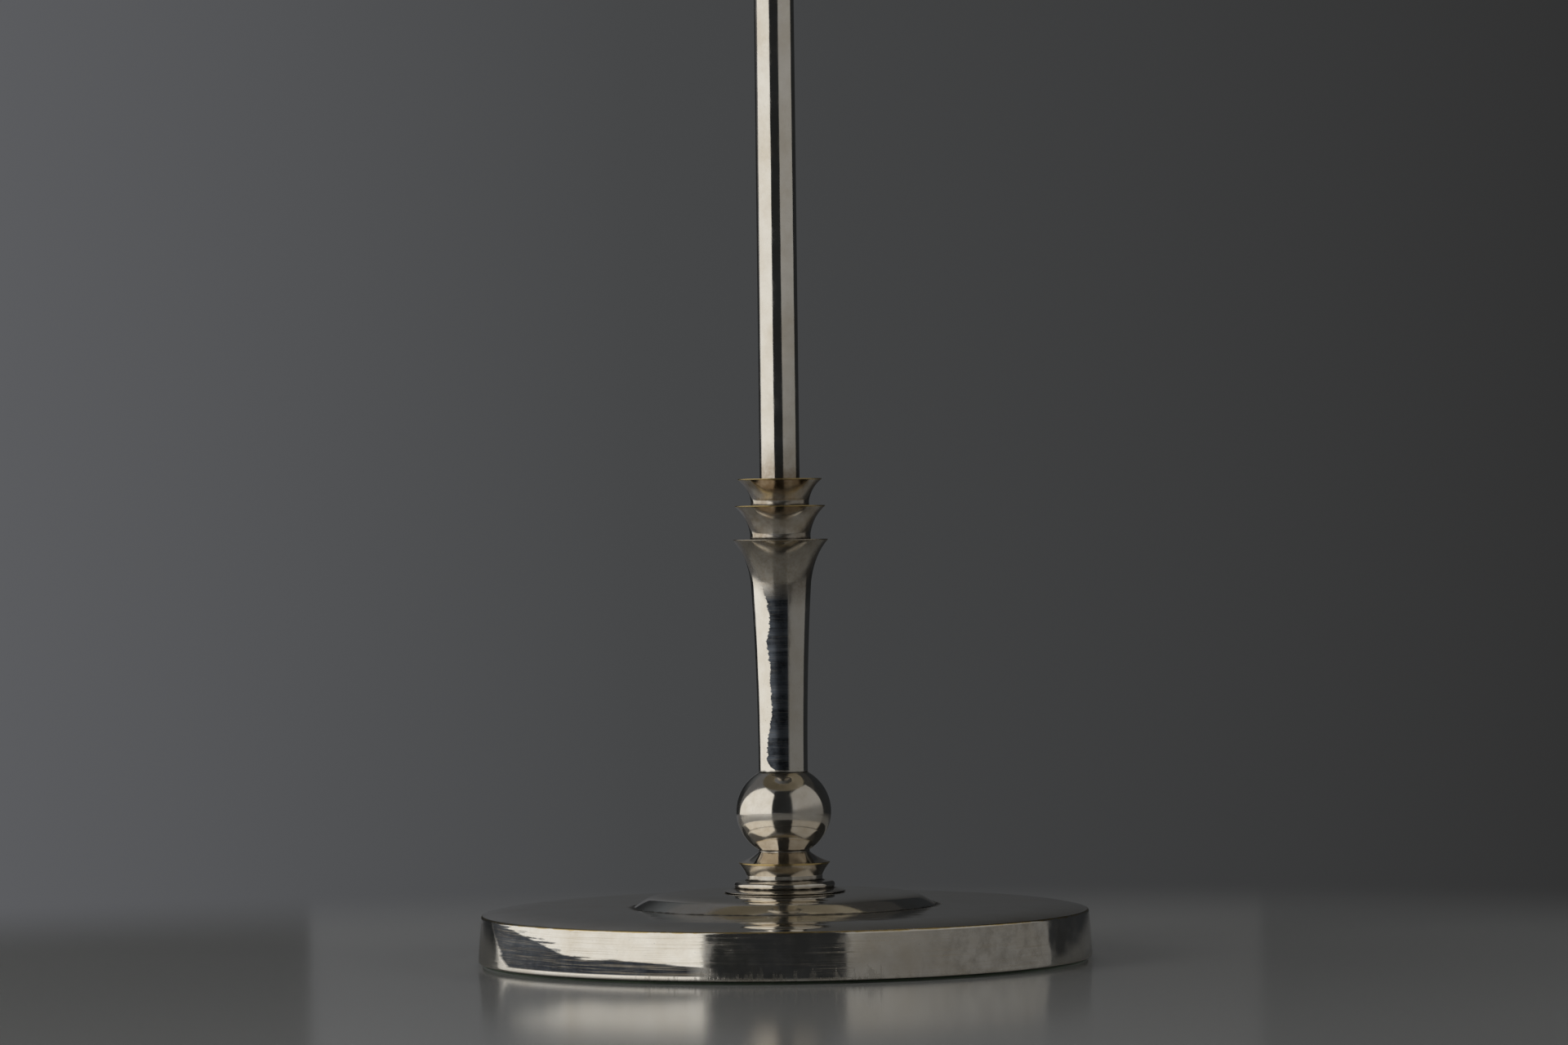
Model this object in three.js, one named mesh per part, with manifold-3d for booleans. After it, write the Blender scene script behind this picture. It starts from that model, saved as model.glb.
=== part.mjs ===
// Table lamp: stacked turned pieces of silver-plated brass on a weighted round base, with a
// turn-switch lampholder, a bulb, a wire shade carrier and a cone shade of linen.
// Millimetres, +Z up. The origin is the middle of the felt, on the table. Front is -Y and the
// cord inlet is at the back, +Y.
import * as THREE from 'three';
import { mergeVertices } from 'three/addons/utils/BufferGeometryUtils.js';
import Module from 'manifold-3d';

const wasm = await Module();
wasm.setup();

// Fits and facets
const FIT_GAP = 0.3;
const LARGE_SEGMENTS = 44;
const PLATE_SEGMENTS = 36;
const TURNED_SEGMENTS = 24;
const BULB_SEGMENTS = 20;
const SMALL_SEGMENTS = 16;
const WIRE_SIDES = 6;
const BOWED_WIRE_STEPS = 16;
const ARM_STEPS = 8;
const CURVE_STEPS = 4;
const SMALL_CURVE_STEPS = 2;

// Hollow tie rod, and what clamps the stack on it
const ROD_RADIUS = 5;
const ROD_BORE_RADIUS = 3.5;
const ROD_TAIL = 1;
const NUT_FLATS = 14;
const NUT_HEIGHT = 4;
const TOP_NUT_HEIGHT = 3;
const WASHER_RADIUS = 16;
const WASHER_THICKNESS = 2;
const LOCK_WASHER_RADIUS = 8.5;
const LOCK_WASHER_THICKNESS = 1.2;
const LOCK_WASHER_SLOT = 1.5;

// Each turned piece stands on the one below with a spigot in a socket
const SPIGOT_RADIUS = 6.6;
const SPIGOT_DEPTH = 1.6;

// Base: a spun shell over an iron casting, on felt
const FELT_THICKNESS = 1.2;
const FELT_INSET = 1.8;
const BASE_RADIUS = 107.3;
const BASE_TOP_RADIUS = 106.2;
const BASE_RIM_HEIGHT = 16.4;
const BASE_CROWN = 1.8;
const BASE_EDGE_ROUND = 1.4;
const BASE_LIP_ROUND = 0.5;
const BASE_WALL = 1.5;
const CASTING_GAP = 0.8;
const CASTING_EDGE_DROP = 3;
const NUT_RECESS_RADIUS = 19;
const NUT_RECESS_DEPTH = 9.5;
const CORD_CHANNEL_WIDTH = 10;
const CORD_CHANNEL_HEIGHT = 8.5;
const INLET_NOTCH_WIDTH = 16;
const INLET_NOTCH_DEPTH = 12;

// Cord inlet bush in the rim
const INLET_HEIGHT = 8.2;
const INLET_BORE_RADIUS = 3.5;
const INLET_NECK_RADIUS = 4.7;
const INLET_FLANGE_RADIUS = 6.4;
const INLET_FLANGE_THICKNESS = 1.4;
const INLET_BARB_RADIUS = 5.4;
const INLET_BARB_LENGTH = 2.5;

// Low domed plate on the base
const PLATE_RADIUS = 52.9;
const PLATE_EDGE_WIDTH = 8;
const PLATE_EDGE_HEIGHT = 2.9;
const PLATE_HEIGHT = 4.9;
const PLATE_FLAT_RADIUS = 22;
const PLATE_WALL = 1.2;
const SPACER_RADIUS = 15;

// Foot ring: a thin flange with a bead on it
const FLANGE_RADIUS = 21.4;
const FLANGE_THICKNESS = 1;
const BEAD_RADIUS = 17.6;
const BEAD_ROUND = 1.35;
const FOOT_RING_HEIGHT = 4.3;

// Foot moulding: a cup that spreads to a sharp edge, then draws in to the neck under the ball
const CUP_FOOT_RADIUS = 13.3;
const CUP_FOOT_HEIGHT = 1.7;
const CUP_EDGE_RADIUS = 15.9;
const CUP_HEIGHT = 6.1;
const CUP_EDGE_LAND = 0.3;
const NECK_RADIUS = 8.9;
const NECK_HEIGHT = 0.6;
const OGEE_HEIGHT = 3.7;

// Ball, a little flatter than a sphere
const BALL_RADIUS = 16.6;
const BALL_HALF_HEIGHT = 16;

// Column and the two collars, each ending in a thin-edged trumpet mouth
const COLUMN_FOOT_RADIUS = 8.6;
const COLUMN_SHOULDER_RADIUS = 10.6;
const COLUMN_RIM_RADIUS = 16.6;
const COLUMN_TAPER_HEIGHT = 66.3;
const COLUMN_FLARE_HEIGHT = 15.1;
const LOWER_COLLAR_RADIUS = 10.6;
const LOWER_COLLAR_RIM_RADIUS = 15.8;
const LOWER_COLLAR_STRAIGHT = 4;
const LOWER_COLLAR_FLARE = 9.9;
const UPPER_COLLAR_RADIUS = 10.2;
const UPPER_COLLAR_RIM_RADIUS = 14.7;
const UPPER_COLLAR_STRAIGHT = 3.7;
const UPPER_COLLAR_FLARE = 7.8;
const FLARE_PULL_OUT = 0.19;
const FLARE_PULL_UP = 0.63;
const RIM_LAND = 0.45;
const RIM_WIDTH = 0.5;
const MOUTH_DEPTH = 2.1;

// Stem tube and its cap
const STEM_RADIUS = 7;
const STEM_WALL = 1;
const STEM_LENGTH = 250;
const STEM_SOCKET_DEPTH = 5;
const STEM_CAP_RADIUS = 8.8;
const STEM_CAP_SKIRT = 6;
const STEM_CAP_TOP = 3;
const STEM_CAP_ROUND = 1.6;

// Lampholder for the E27 screw, with a turn switch
const HOLDER_BOSS_RADIUS = 8;
const HOLDER_BOSS_HEIGHT = 8;
const HOLDER_CAP_HEIGHT = 24;
const HOLDER_CAP_WALL = 1.2;
const GRUB_SCREW_RADIUS = 1.5;
const GRUB_SCREW_LENGTH = 4;
const GRUB_SCREW_SLOT = 0.6;
const SHELL_RADIUS = 20.7;
const SHELL_THREAD_RADIUS = 19.6;
const SHELL_WALL = 1;
const SHELL_OVERLAP = 5;
const SHELL_SHOULDER_HEIGHT = 26;
const SHELL_SHOULDER_RADIUS = 23;
const SHELL_SHOULDER_THICKNESS = 1.5;
const SHELL_THREAD_LENGTH = 18;
const SWITCH_BLOCK_HEIGHT = 16;
const INSERT_HEIGHT = 6;
const SCREW_SHELL_RADIUS = 13.6;
const SCREW_SHELL_WALL = 0.6;
const SCREW_SHELL_HEIGHT = 19.5;
const MOUTH_RING_HEIGHT = 21;
const CONTACT_SPAN = 14;
const CONTACT_WIDTH = 5;
const CONTACT_RISE = 2.6;
const CONTACT_THICKNESS = 0.6;

// Turn key of the switch, on the right, +X
const SPINDLE_RADIUS = 2;
const SPINDLE_START = 8;
const SPINDLE_REACH = 7;
const KEY_NECK_RADIUS = 3.6;
const KEY_NECK_LENGTH = 6;
const KEY_FLOOR_THICKNESS = 1.2;
const KEY_WIDTH = 16;
const KEY_LENGTH = 11;
const KEY_THICKNESS = 3.2;
const KEY_EDGE_ROUND = 0.6;

// Bulb
const BULB_TIP_RADIUS = 4.6;
const BULB_TIP_HEIGHT = 1.4;
const BULB_INSULATOR_RADIUS = 10.8;
const BULB_INSULATOR_HEIGHT = 3.6;
const BULB_CAP_RADIUS = 13.2;
const BULB_CAP_HEIGHT = 21;
const BULB_CAP_WALL = 0.5;
const BULB_NECK_SOCKET = 6;
const BULB_GLOBE_RADIUS = 30;
const BULB_GLOBE_HEIGHT = 54;
const BULB_GLASS_WALL = 0.8;

// Shade carrier: three bowed wires between a clamped ring and a top ring
const WIRE_RADIUS = 1.5;
const CARRIER_COUNT = 3;
const CARRIER_RING_WIDTH = 8.6;
const CARRIER_RING_THICKNESS = 1.2;
const CARRIER_BELLY_RADIUS = 41;
const CARRIER_TOP_RADIUS = 17;
const CARRIER_TOP_CLEARANCE = 9;
const SHADE_RING_WIDTH = 4.6;
const SHADE_RING_HEIGHT = 7;
const SHADE_RING_FLUTES = 30;
const SHADE_RING_FLUTE_DEPTH = 0.5;

// Shade
const SHADE_BOTTOM_RADIUS = 228;
const SHADE_TOP_RADIUS = 145;
const SHADE_HEIGHT = 216;
const SHADE_THICKNESS = 1.5;
const SHADE_RING_INSET = 3;
const SPIDER_DROP = 9;
const SPIDER_ARM_COUNT = 3;
const SPIDER_ARM_START = 12.5;
const SPIDER_ARM_FLAT = 12;
const HUB_FLANGE_RADIUS = 20;
const HUB_FLANGE_THICKNESS = 1.2;
const HUB_HOLE_RADIUS = 11;
const HUB_SKIRT_DEPTH = 5;
const HUB_SKIRT_WALL = 1.2;

// Sizes that follow
const rodHole = ROD_RADIUS + FIT_GAP;
const spigotSocket = SPIGOT_RADIUS + FIT_GAP;
const rimOutside = Math.max(BASE_RADIUS, BASE_TOP_RADIUS);
const rimInside = Math.min(BASE_RADIUS, BASE_TOP_RADIUS) - BASE_WALL;
const bushSeat = rimOutside + FIT_GAP;
const baseTop = FELT_THICKNESS + BASE_RIM_HEIGHT + BASE_CROWN;
const plateTop = baseTop + PLATE_HEIGHT;
const footRingTop = plateTop + FOOT_RING_HEIGHT;
const ballBottom = footRingTop + CUP_HEIGHT + OGEE_HEIGHT + NECK_HEIGHT;
const ballStartAngle = -Math.acos(NECK_RADIUS / BALL_RADIUS);
const ballEndAngle = Math.acos(COLUMN_FOOT_RADIUS / BALL_RADIUS);
const ballCentre = -BALL_HALF_HEIGHT * Math.sin(ballStartAngle);
const ballHeight = ballCentre + BALL_HALF_HEIGHT * Math.sin(ballEndAngle);
const columnBottom = ballBottom + ballHeight;
const columnHeight = COLUMN_TAPER_HEIGHT + COLUMN_FLARE_HEIGHT;
const lowerCollarBottom = columnBottom + columnHeight - MOUTH_DEPTH;
const lowerCollarHeight = LOWER_COLLAR_STRAIGHT + LOWER_COLLAR_FLARE;
const upperCollarBottom = lowerCollarBottom + lowerCollarHeight - MOUTH_DEPTH;
const upperCollarHeight = UPPER_COLLAR_STRAIGHT + UPPER_COLLAR_FLARE;
const stemBottom = upperCollarBottom + upperCollarHeight - MOUTH_DEPTH - STEM_SOCKET_DEPTH;
const stemTop = stemBottom + STEM_LENGTH;
const stemCapTop = stemTop + STEM_CAP_TOP;
const holderCapBottom = stemCapTop + TOP_NUT_HEIGHT;
const holderCapRadius = SHELL_RADIUS - SHELL_WALL - FIT_GAP;
const holderFloor = HOLDER_BOSS_HEIGHT + HOLDER_CAP_WALL;
const shellBottom = holderCapBottom + HOLDER_CAP_HEIGHT - SHELL_OVERLAP;
const switchBottom = shellBottom + SHELL_OVERLAP;
const keyHeight = switchBottom + SWITCH_BLOCK_HEIGHT / 2;
const insertBottom = switchBottom + SWITCH_BLOCK_HEIGHT;
const insertTop = insertBottom + INSERT_HEIGHT;
const shoulderTop = shellBottom + SHELL_SHOULDER_HEIGHT + SHELL_SHOULDER_THICKNESS;
const innerThreadRadius = SHELL_THREAD_RADIUS - SHELL_WALL;
const bulbBottom = insertTop + CONTACT_RISE + CONTACT_THICKNESS + FIT_GAP;
const bulbCapBottom = bulbBottom + BULB_TIP_HEIGHT + BULB_INSULATOR_HEIGHT;
const bulbGlassBottom = bulbCapBottom + BULB_CAP_HEIGHT - BULB_NECK_SOCKET;
const bulbNeckRadius = BULB_CAP_RADIUS - BULB_CAP_WALL - FIT_GAP;
const bulbTop = bulbGlassBottom + BULB_GLOBE_HEIGHT + BULB_GLOBE_RADIUS;
const carrierRingTop = shoulderTop + CARRIER_RING_THICKNESS;
const carrierTopCentre = bulbTop + CARRIER_TOP_CLEARANCE;
const hubBottom = carrierTopCentre + WIRE_RADIUS + FIT_GAP;
const spiderArmHeight = hubBottom + HUB_FLANGE_THICKNESS + FIT_GAP + WIRE_RADIUS;
const shadeTopRingHeight = spiderArmHeight + SPIDER_DROP;
const shadeBottom = shadeTopRingHeight + SHADE_RING_INSET - SHADE_HEIGHT;

// Welds shared corners, and drops the empty triangles that a turned outline leaves on its axis
function welded(geometry) {
  const bare = geometry.clone();
  bare.deleteAttribute('normal');
  bare.deleteAttribute('uv');
  const merged = mergeVertices(bare);
  const corners = merged.index.array;
  const kept = [];
  for (let i = 0; i < corners.length; i += 3) {
    const [a, b, c] = corners.slice(i, i + 3);
    if (a !== b && b !== c && c !== a) kept.push(a, b, c);
  }
  merged.setIndex(kept);
  return merged;
}

function toSolid(geometry) {
  const merged = welded(geometry);
  return new wasm.Manifold(new wasm.Mesh({
    numProp: 3,
    vertProperties: Float32Array.from(merged.attributes.position.array),
    triVerts: Uint32Array.from(merged.index.array),
  }));
}

function toGeometry(solid) {
  const mesh = solid.getMesh();
  const geometry = new THREE.BufferGeometry();
  geometry.setAttribute('position', new THREE.BufferAttribute(Float32Array.from(mesh.vertProperties), 3));
  geometry.setIndex(new THREE.BufferAttribute(Uint32Array.from(mesh.triVerts), 1));
  return geometry;
}

function cut(geometry, ...tools) {
  return toGeometry(tools.reduce((solid, tool) => solid.subtract(toSolid(tool)), toSolid(geometry)));
}

function join(geometry, other) {
  return toGeometry(toSolid(geometry).add(toSolid(other)));
}

// Turns an outline about +Z. It runs up the outside and down the inside, as (radius, height).
function turned(points, segments = TURNED_SEGMENTS) {
  const geometry = new THREE.LatheGeometry([...points, points[0].clone()], segments);
  geometry.rotateX(Math.PI / 2);
  return welded(geometry);
}

function turnedPath(path, segments = TURNED_SEGMENTS) {
  return turned(path.getPoints(CURVE_STEPS), segments);
}

function ring(innerRadius, outerRadius, height, segments = TURNED_SEGMENTS) {
  const path = new THREE.Path();
  path.moveTo(innerRadius, 0);
  path.lineTo(outerRadius, 0);
  path.lineTo(outerRadius, height);
  path.lineTo(innerRadius, height);
  return turnedPath(path, segments);
}

function rod(radius, length, segments = TURNED_SEGMENTS) {
  return welded(new THREE.CylinderGeometry(radius, radius, length, segments).rotateX(Math.PI / 2));
}

function box(width, depth, height) {
  return new THREE.BoxGeometry(width, depth, height);
}

// Starts a turned piece of the stack: its bore, its spigot and its bottom face
function startOnRod(hasSpigot) {
  const path = new THREE.Path();
  if (hasSpigot) {
    path.moveTo(rodHole, -SPIGOT_DEPTH);
    path.lineTo(SPIGOT_RADIUS, -SPIGOT_DEPTH);
    path.lineTo(SPIGOT_RADIUS, 0);
  } else {
    path.moveTo(rodHole, 0);
  }
  return path;
}

// Ends such a piece at its top face, with the socket for the spigot of the piece above
function endWithSocket(path, top, radius = spigotSocket, depth = SPIGOT_DEPTH + FIT_GAP) {
  path.lineTo(radius, top);
  path.lineTo(radius, top - depth);
  path.lineTo(rodHole, top - depth);
  return path;
}

// The trumpet mouth of the column and collars: a flare to a thin rim, dished inside
function trumpetMouth(path, footRadius, rimRadius, flareBottom, top, floorRadius) {
  const flareTop = top - RIM_LAND;
  path.quadraticCurveTo(
    footRadius + FLARE_PULL_OUT * (rimRadius - footRadius),
    flareBottom + FLARE_PULL_UP * (flareTop - flareBottom),
    rimRadius,
    flareTop,
  );
  path.lineTo(rimRadius, top);
  path.lineTo(rimRadius - RIM_WIDTH, top);
  path.lineTo(floorRadius, top - MOUTH_DEPTH);
}

function baseShell() {
  const top = BASE_RIM_HEIGHT + BASE_CROWN;
  const crownRadius = (BASE_TOP_RADIUS + PLATE_RADIUS) / 2;
  const path = new THREE.Path();
  path.moveTo(BASE_RADIUS - BASE_WALL, 0);
  path.lineTo(BASE_RADIUS - BASE_LIP_ROUND, 0);
  path.lineTo(BASE_RADIUS, BASE_LIP_ROUND);
  path.quadraticCurveTo(BASE_RADIUS, BASE_RIM_HEIGHT / 2, BASE_TOP_RADIUS, BASE_RIM_HEIGHT - BASE_EDGE_ROUND);
  path.quadraticCurveTo(BASE_TOP_RADIUS, BASE_RIM_HEIGHT, BASE_TOP_RADIUS - BASE_EDGE_ROUND, BASE_RIM_HEIGHT);
  path.quadraticCurveTo(crownRadius, top, PLATE_RADIUS, top);
  path.lineTo(rodHole, top);
  path.lineTo(rodHole, top - BASE_WALL);
  path.lineTo(PLATE_RADIUS, top - BASE_WALL);
  path.lineTo(BASE_TOP_RADIUS - BASE_EDGE_ROUND - BASE_WALL, BASE_RIM_HEIGHT - BASE_WALL);
  path.lineTo(BASE_TOP_RADIUS - BASE_WALL, BASE_RIM_HEIGHT - BASE_EDGE_ROUND - BASE_WALL);
  const hole = rod(INLET_NECK_RADIUS + FIT_GAP, rimOutside - rimInside + 2 * BASE_WALL);
  hole.rotateX(Math.PI / 2);
  hole.translate(0, (rimOutside + rimInside) / 2, INLET_HEIGHT - FELT_THICKNESS);
  return cut(turned(path.getPoints(CURVE_STEPS - 1), LARGE_SEGMENTS), hole);
}

function baseCasting() {
  const top = BASE_RIM_HEIGHT + BASE_CROWN - BASE_WALL;
  const edge = rimInside - BASE_EDGE_ROUND - CASTING_GAP;
  const path = new THREE.Path();
  path.moveTo(NUT_RECESS_RADIUS, 0);
  path.lineTo(edge, 0);
  path.lineTo(edge, top - CASTING_EDGE_DROP);
  path.lineTo(PLATE_RADIUS, top);
  path.lineTo(rodHole, top);
  path.lineTo(rodHole, NUT_RECESS_DEPTH);
  path.lineTo(NUT_RECESS_RADIUS, NUT_RECESS_DEPTH);
  const channel = box(CORD_CHANNEL_WIDTH, edge, 2 * CORD_CHANNEL_HEIGHT);
  channel.translate(0, edge / 2, 0);
  const notch = box(INLET_NOTCH_WIDTH, 2 * INLET_NOTCH_DEPTH, 4 * top);
  notch.translate(0, edge, 0);
  return cut(turnedPath(path, LARGE_SEGMENTS), channel, notch);
}

function cordBush() {
  const inside = rimInside - FIT_GAP - bushSeat;
  const path = new THREE.Path();
  path.moveTo(INLET_BORE_RADIUS, inside - INLET_BARB_LENGTH);
  path.lineTo(INLET_NECK_RADIUS, inside - INLET_BARB_LENGTH);
  path.lineTo(INLET_BARB_RADIUS, inside);
  path.lineTo(INLET_NECK_RADIUS, inside);
  path.lineTo(INLET_NECK_RADIUS, 0);
  path.lineTo(INLET_FLANGE_RADIUS, 0);
  path.quadraticCurveTo(
    INLET_FLANGE_RADIUS, INLET_FLANGE_THICKNESS,
    INLET_NECK_RADIUS, INLET_FLANGE_THICKNESS,
  );
  path.lineTo(INLET_BORE_RADIUS, INLET_FLANGE_THICKNESS);
  return turned(path.getPoints(SMALL_CURVE_STEPS), SMALL_SEGMENTS);
}

function raisedPlate() {
  const slopeRadius = PLATE_RADIUS - PLATE_EDGE_WIDTH;
  const crownRadius = (slopeRadius + PLATE_FLAT_RADIUS) / 2;
  const crownHeight = PLATE_EDGE_HEIGHT + 0.72 * (PLATE_HEIGHT - PLATE_EDGE_HEIGHT);
  const path = new THREE.Path();
  path.moveTo(PLATE_RADIUS - PLATE_WALL, 0);
  path.lineTo(PLATE_RADIUS, 0);
  path.quadraticCurveTo(
    PLATE_RADIUS - 0.18 * PLATE_EDGE_WIDTH, 0.9 * PLATE_EDGE_HEIGHT,
    slopeRadius, PLATE_EDGE_HEIGHT,
  );
  path.quadraticCurveTo(crownRadius, crownHeight, PLATE_FLAT_RADIUS, PLATE_HEIGHT);
  path.lineTo(rodHole, PLATE_HEIGHT);
  path.lineTo(rodHole, PLATE_HEIGHT - PLATE_WALL);
  path.lineTo(PLATE_FLAT_RADIUS, PLATE_HEIGHT - PLATE_WALL);
  path.lineTo(slopeRadius, PLATE_EDGE_HEIGHT - PLATE_WALL);
  return turned(path.getPoints(CURVE_STEPS - 1), PLATE_SEGMENTS);
}

function footRing() {
  const half = FLANGE_THICKNESS / 2;
  const beadCentre = BEAD_RADIUS - BEAD_ROUND;
  const path = startOnRod(false);
  path.lineTo(FLANGE_RADIUS - half, 0);
  path.lineTo(FLANGE_RADIUS, half);
  path.lineTo(FLANGE_RADIUS - half, FLANGE_THICKNESS);
  path.absarc(beadCentre, FOOT_RING_HEIGHT - BEAD_ROUND, BEAD_ROUND, -Math.PI / 2, Math.PI / 2, false);
  return turnedPath(endWithSocket(path, FOOT_RING_HEIGHT));
}

function footMoulding() {
  const flareTop = CUP_HEIGHT - CUP_EDGE_LAND;
  const neckBottom = CUP_HEIGHT + OGEE_HEIGHT;
  const path = startOnRod(true);
  path.lineTo(CUP_FOOT_RADIUS, 0);
  path.lineTo(CUP_FOOT_RADIUS, CUP_FOOT_HEIGHT);
  path.quadraticCurveTo(
    CUP_FOOT_RADIUS + 0.24 * (CUP_EDGE_RADIUS - CUP_FOOT_RADIUS),
    CUP_FOOT_HEIGHT + 0.42 * (flareTop - CUP_FOOT_HEIGHT),
    CUP_EDGE_RADIUS,
    flareTop,
  );
  path.lineTo(CUP_EDGE_RADIUS, CUP_HEIGHT);
  path.quadraticCurveTo(
    NECK_RADIUS + 0.39 * (CUP_EDGE_RADIUS - NECK_RADIUS), CUP_HEIGHT + 0.37 * OGEE_HEIGHT,
    NECK_RADIUS, neckBottom,
  );
  path.lineTo(NECK_RADIUS, neckBottom + NECK_HEIGHT);
  return turnedPath(endWithSocket(path, neckBottom + NECK_HEIGHT));
}

function ball() {
  const path = startOnRod(true);
  path.lineTo(NECK_RADIUS, 0);
  path.absellipse(0, ballCentre, BALL_RADIUS, BALL_HALF_HEIGHT, ballStartAngle, ballEndAngle, false);
  return turned(endWithSocket(path, ballHeight).getPoints(CURVE_STEPS + 1));
}

function column() {
  const path = startOnRod(true);
  path.lineTo(COLUMN_FOOT_RADIUS, 0);
  path.quadraticCurveTo(
    COLUMN_FOOT_RADIUS, 0.53 * COLUMN_TAPER_HEIGHT,
    COLUMN_SHOULDER_RADIUS, COLUMN_TAPER_HEIGHT,
  );
  trumpetMouth(
    path, COLUMN_SHOULDER_RADIUS, COLUMN_RIM_RADIUS, COLUMN_TAPER_HEIGHT, columnHeight,
    LOWER_COLLAR_RADIUS + FIT_GAP,
  );
  return turnedPath(endWithSocket(path, columnHeight - MOUTH_DEPTH));
}

function collarLower() {
  const path = startOnRod(true);
  path.lineTo(LOWER_COLLAR_RADIUS, 0);
  path.lineTo(LOWER_COLLAR_RADIUS, LOWER_COLLAR_STRAIGHT);
  trumpetMouth(
    path, LOWER_COLLAR_RADIUS, LOWER_COLLAR_RIM_RADIUS, LOWER_COLLAR_STRAIGHT, lowerCollarHeight,
    UPPER_COLLAR_RADIUS + FIT_GAP,
  );
  return turnedPath(endWithSocket(path, lowerCollarHeight - MOUTH_DEPTH));
}

function collarUpper() {
  const path = startOnRod(true);
  path.lineTo(UPPER_COLLAR_RADIUS, 0);
  path.lineTo(UPPER_COLLAR_RADIUS, UPPER_COLLAR_STRAIGHT);
  trumpetMouth(
    path, UPPER_COLLAR_RADIUS, UPPER_COLLAR_RIM_RADIUS, UPPER_COLLAR_STRAIGHT, upperCollarHeight,
    STEM_RADIUS + 2 * FIT_GAP,
  );
  const floor = upperCollarHeight - MOUTH_DEPTH;
  return turnedPath(endWithSocket(path, floor, STEM_RADIUS + FIT_GAP, STEM_SOCKET_DEPTH));
}

function stemCap() {
  const path = new THREE.Path();
  path.moveTo(STEM_RADIUS + FIT_GAP, -STEM_CAP_SKIRT);
  path.lineTo(STEM_CAP_RADIUS, -STEM_CAP_SKIRT);
  path.lineTo(STEM_CAP_RADIUS, STEM_CAP_TOP - STEM_CAP_ROUND);
  path.quadraticCurveTo(STEM_CAP_RADIUS, STEM_CAP_TOP, STEM_CAP_RADIUS - STEM_CAP_ROUND, STEM_CAP_TOP);
  path.lineTo(rodHole, STEM_CAP_TOP);
  path.lineTo(rodHole, 0);
  path.lineTo(STEM_RADIUS + FIT_GAP, 0);
  return turned(path.getPoints(SMALL_CURVE_STEPS));
}

// Six-sided nut
function hexNut(height) {
  const outline = new THREE.Shape();
  outline.absarc(0, 0, NUT_FLATS / Math.sqrt(3), 0, 2 * Math.PI, false);
  const corners = new THREE.Shape(outline.getPoints(3));
  corners.holes.push(new THREE.Path().absarc(0, 0, rodHole, 0, 2 * Math.PI, true));
  return new THREE.ExtrudeGeometry(
    corners,
    { depth: height, bevelEnabled: false, curveSegments: SMALL_SEGMENTS / 2 },
  );
}

function lockWasher() {
  const slot = box(LOCK_WASHER_RADIUS, LOCK_WASHER_SLOT, 4 * LOCK_WASHER_THICKNESS);
  slot.translate(LOCK_WASHER_RADIUS, 0, 0);
  return cut(ring(rodHole, LOCK_WASHER_RADIUS, LOCK_WASHER_THICKNESS, SMALL_SEGMENTS), slot);
}

function holderCap() {
  const wall = HOLDER_CAP_WALL;
  const shoulder = HOLDER_CAP_HEIGHT - SHELL_OVERLAP;
  const bend = (HOLDER_BOSS_RADIUS + holderCapRadius) / 2;
  const bendHeight = (HOLDER_BOSS_HEIGHT + shoulder) / 2;
  const path = new THREE.Path();
  path.moveTo(rodHole, 0);
  path.lineTo(HOLDER_BOSS_RADIUS, 0);
  path.lineTo(HOLDER_BOSS_RADIUS, HOLDER_BOSS_HEIGHT);
  path.quadraticCurveTo(HOLDER_BOSS_RADIUS, bendHeight, bend, bendHeight);
  path.quadraticCurveTo(holderCapRadius, bendHeight, holderCapRadius, shoulder);
  path.lineTo(holderCapRadius, HOLDER_CAP_HEIGHT);
  path.lineTo(holderCapRadius - wall, HOLDER_CAP_HEIGHT);
  path.lineTo(holderCapRadius - wall, shoulder);
  path.quadraticCurveTo(holderCapRadius - wall, bendHeight + wall, bend, bendHeight + wall);
  path.lineTo(rodHole + wall, bendHeight + wall);
  path.lineTo(rodHole, holderFloor);
  const hole = rod(GRUB_SCREW_RADIUS + FIT_GAP, HOLDER_BOSS_RADIUS, SMALL_SEGMENTS / 2);
  hole.rotateX(Math.PI / 2);
  hole.translate(0, HOLDER_BOSS_RADIUS, HOLDER_BOSS_HEIGHT / 2);
  return cut(turned(path.getPoints(SMALL_CURVE_STEPS)), hole);
}

function grubScrew() {
  const slot = box(GRUB_SCREW_SLOT, 3 * GRUB_SCREW_RADIUS, 2 * GRUB_SCREW_SLOT);
  slot.translate(0, 0, GRUB_SCREW_LENGTH / 2);
  return cut(rod(GRUB_SCREW_RADIUS, GRUB_SCREW_LENGTH, SMALL_SEGMENTS / 2), slot);
}

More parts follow.
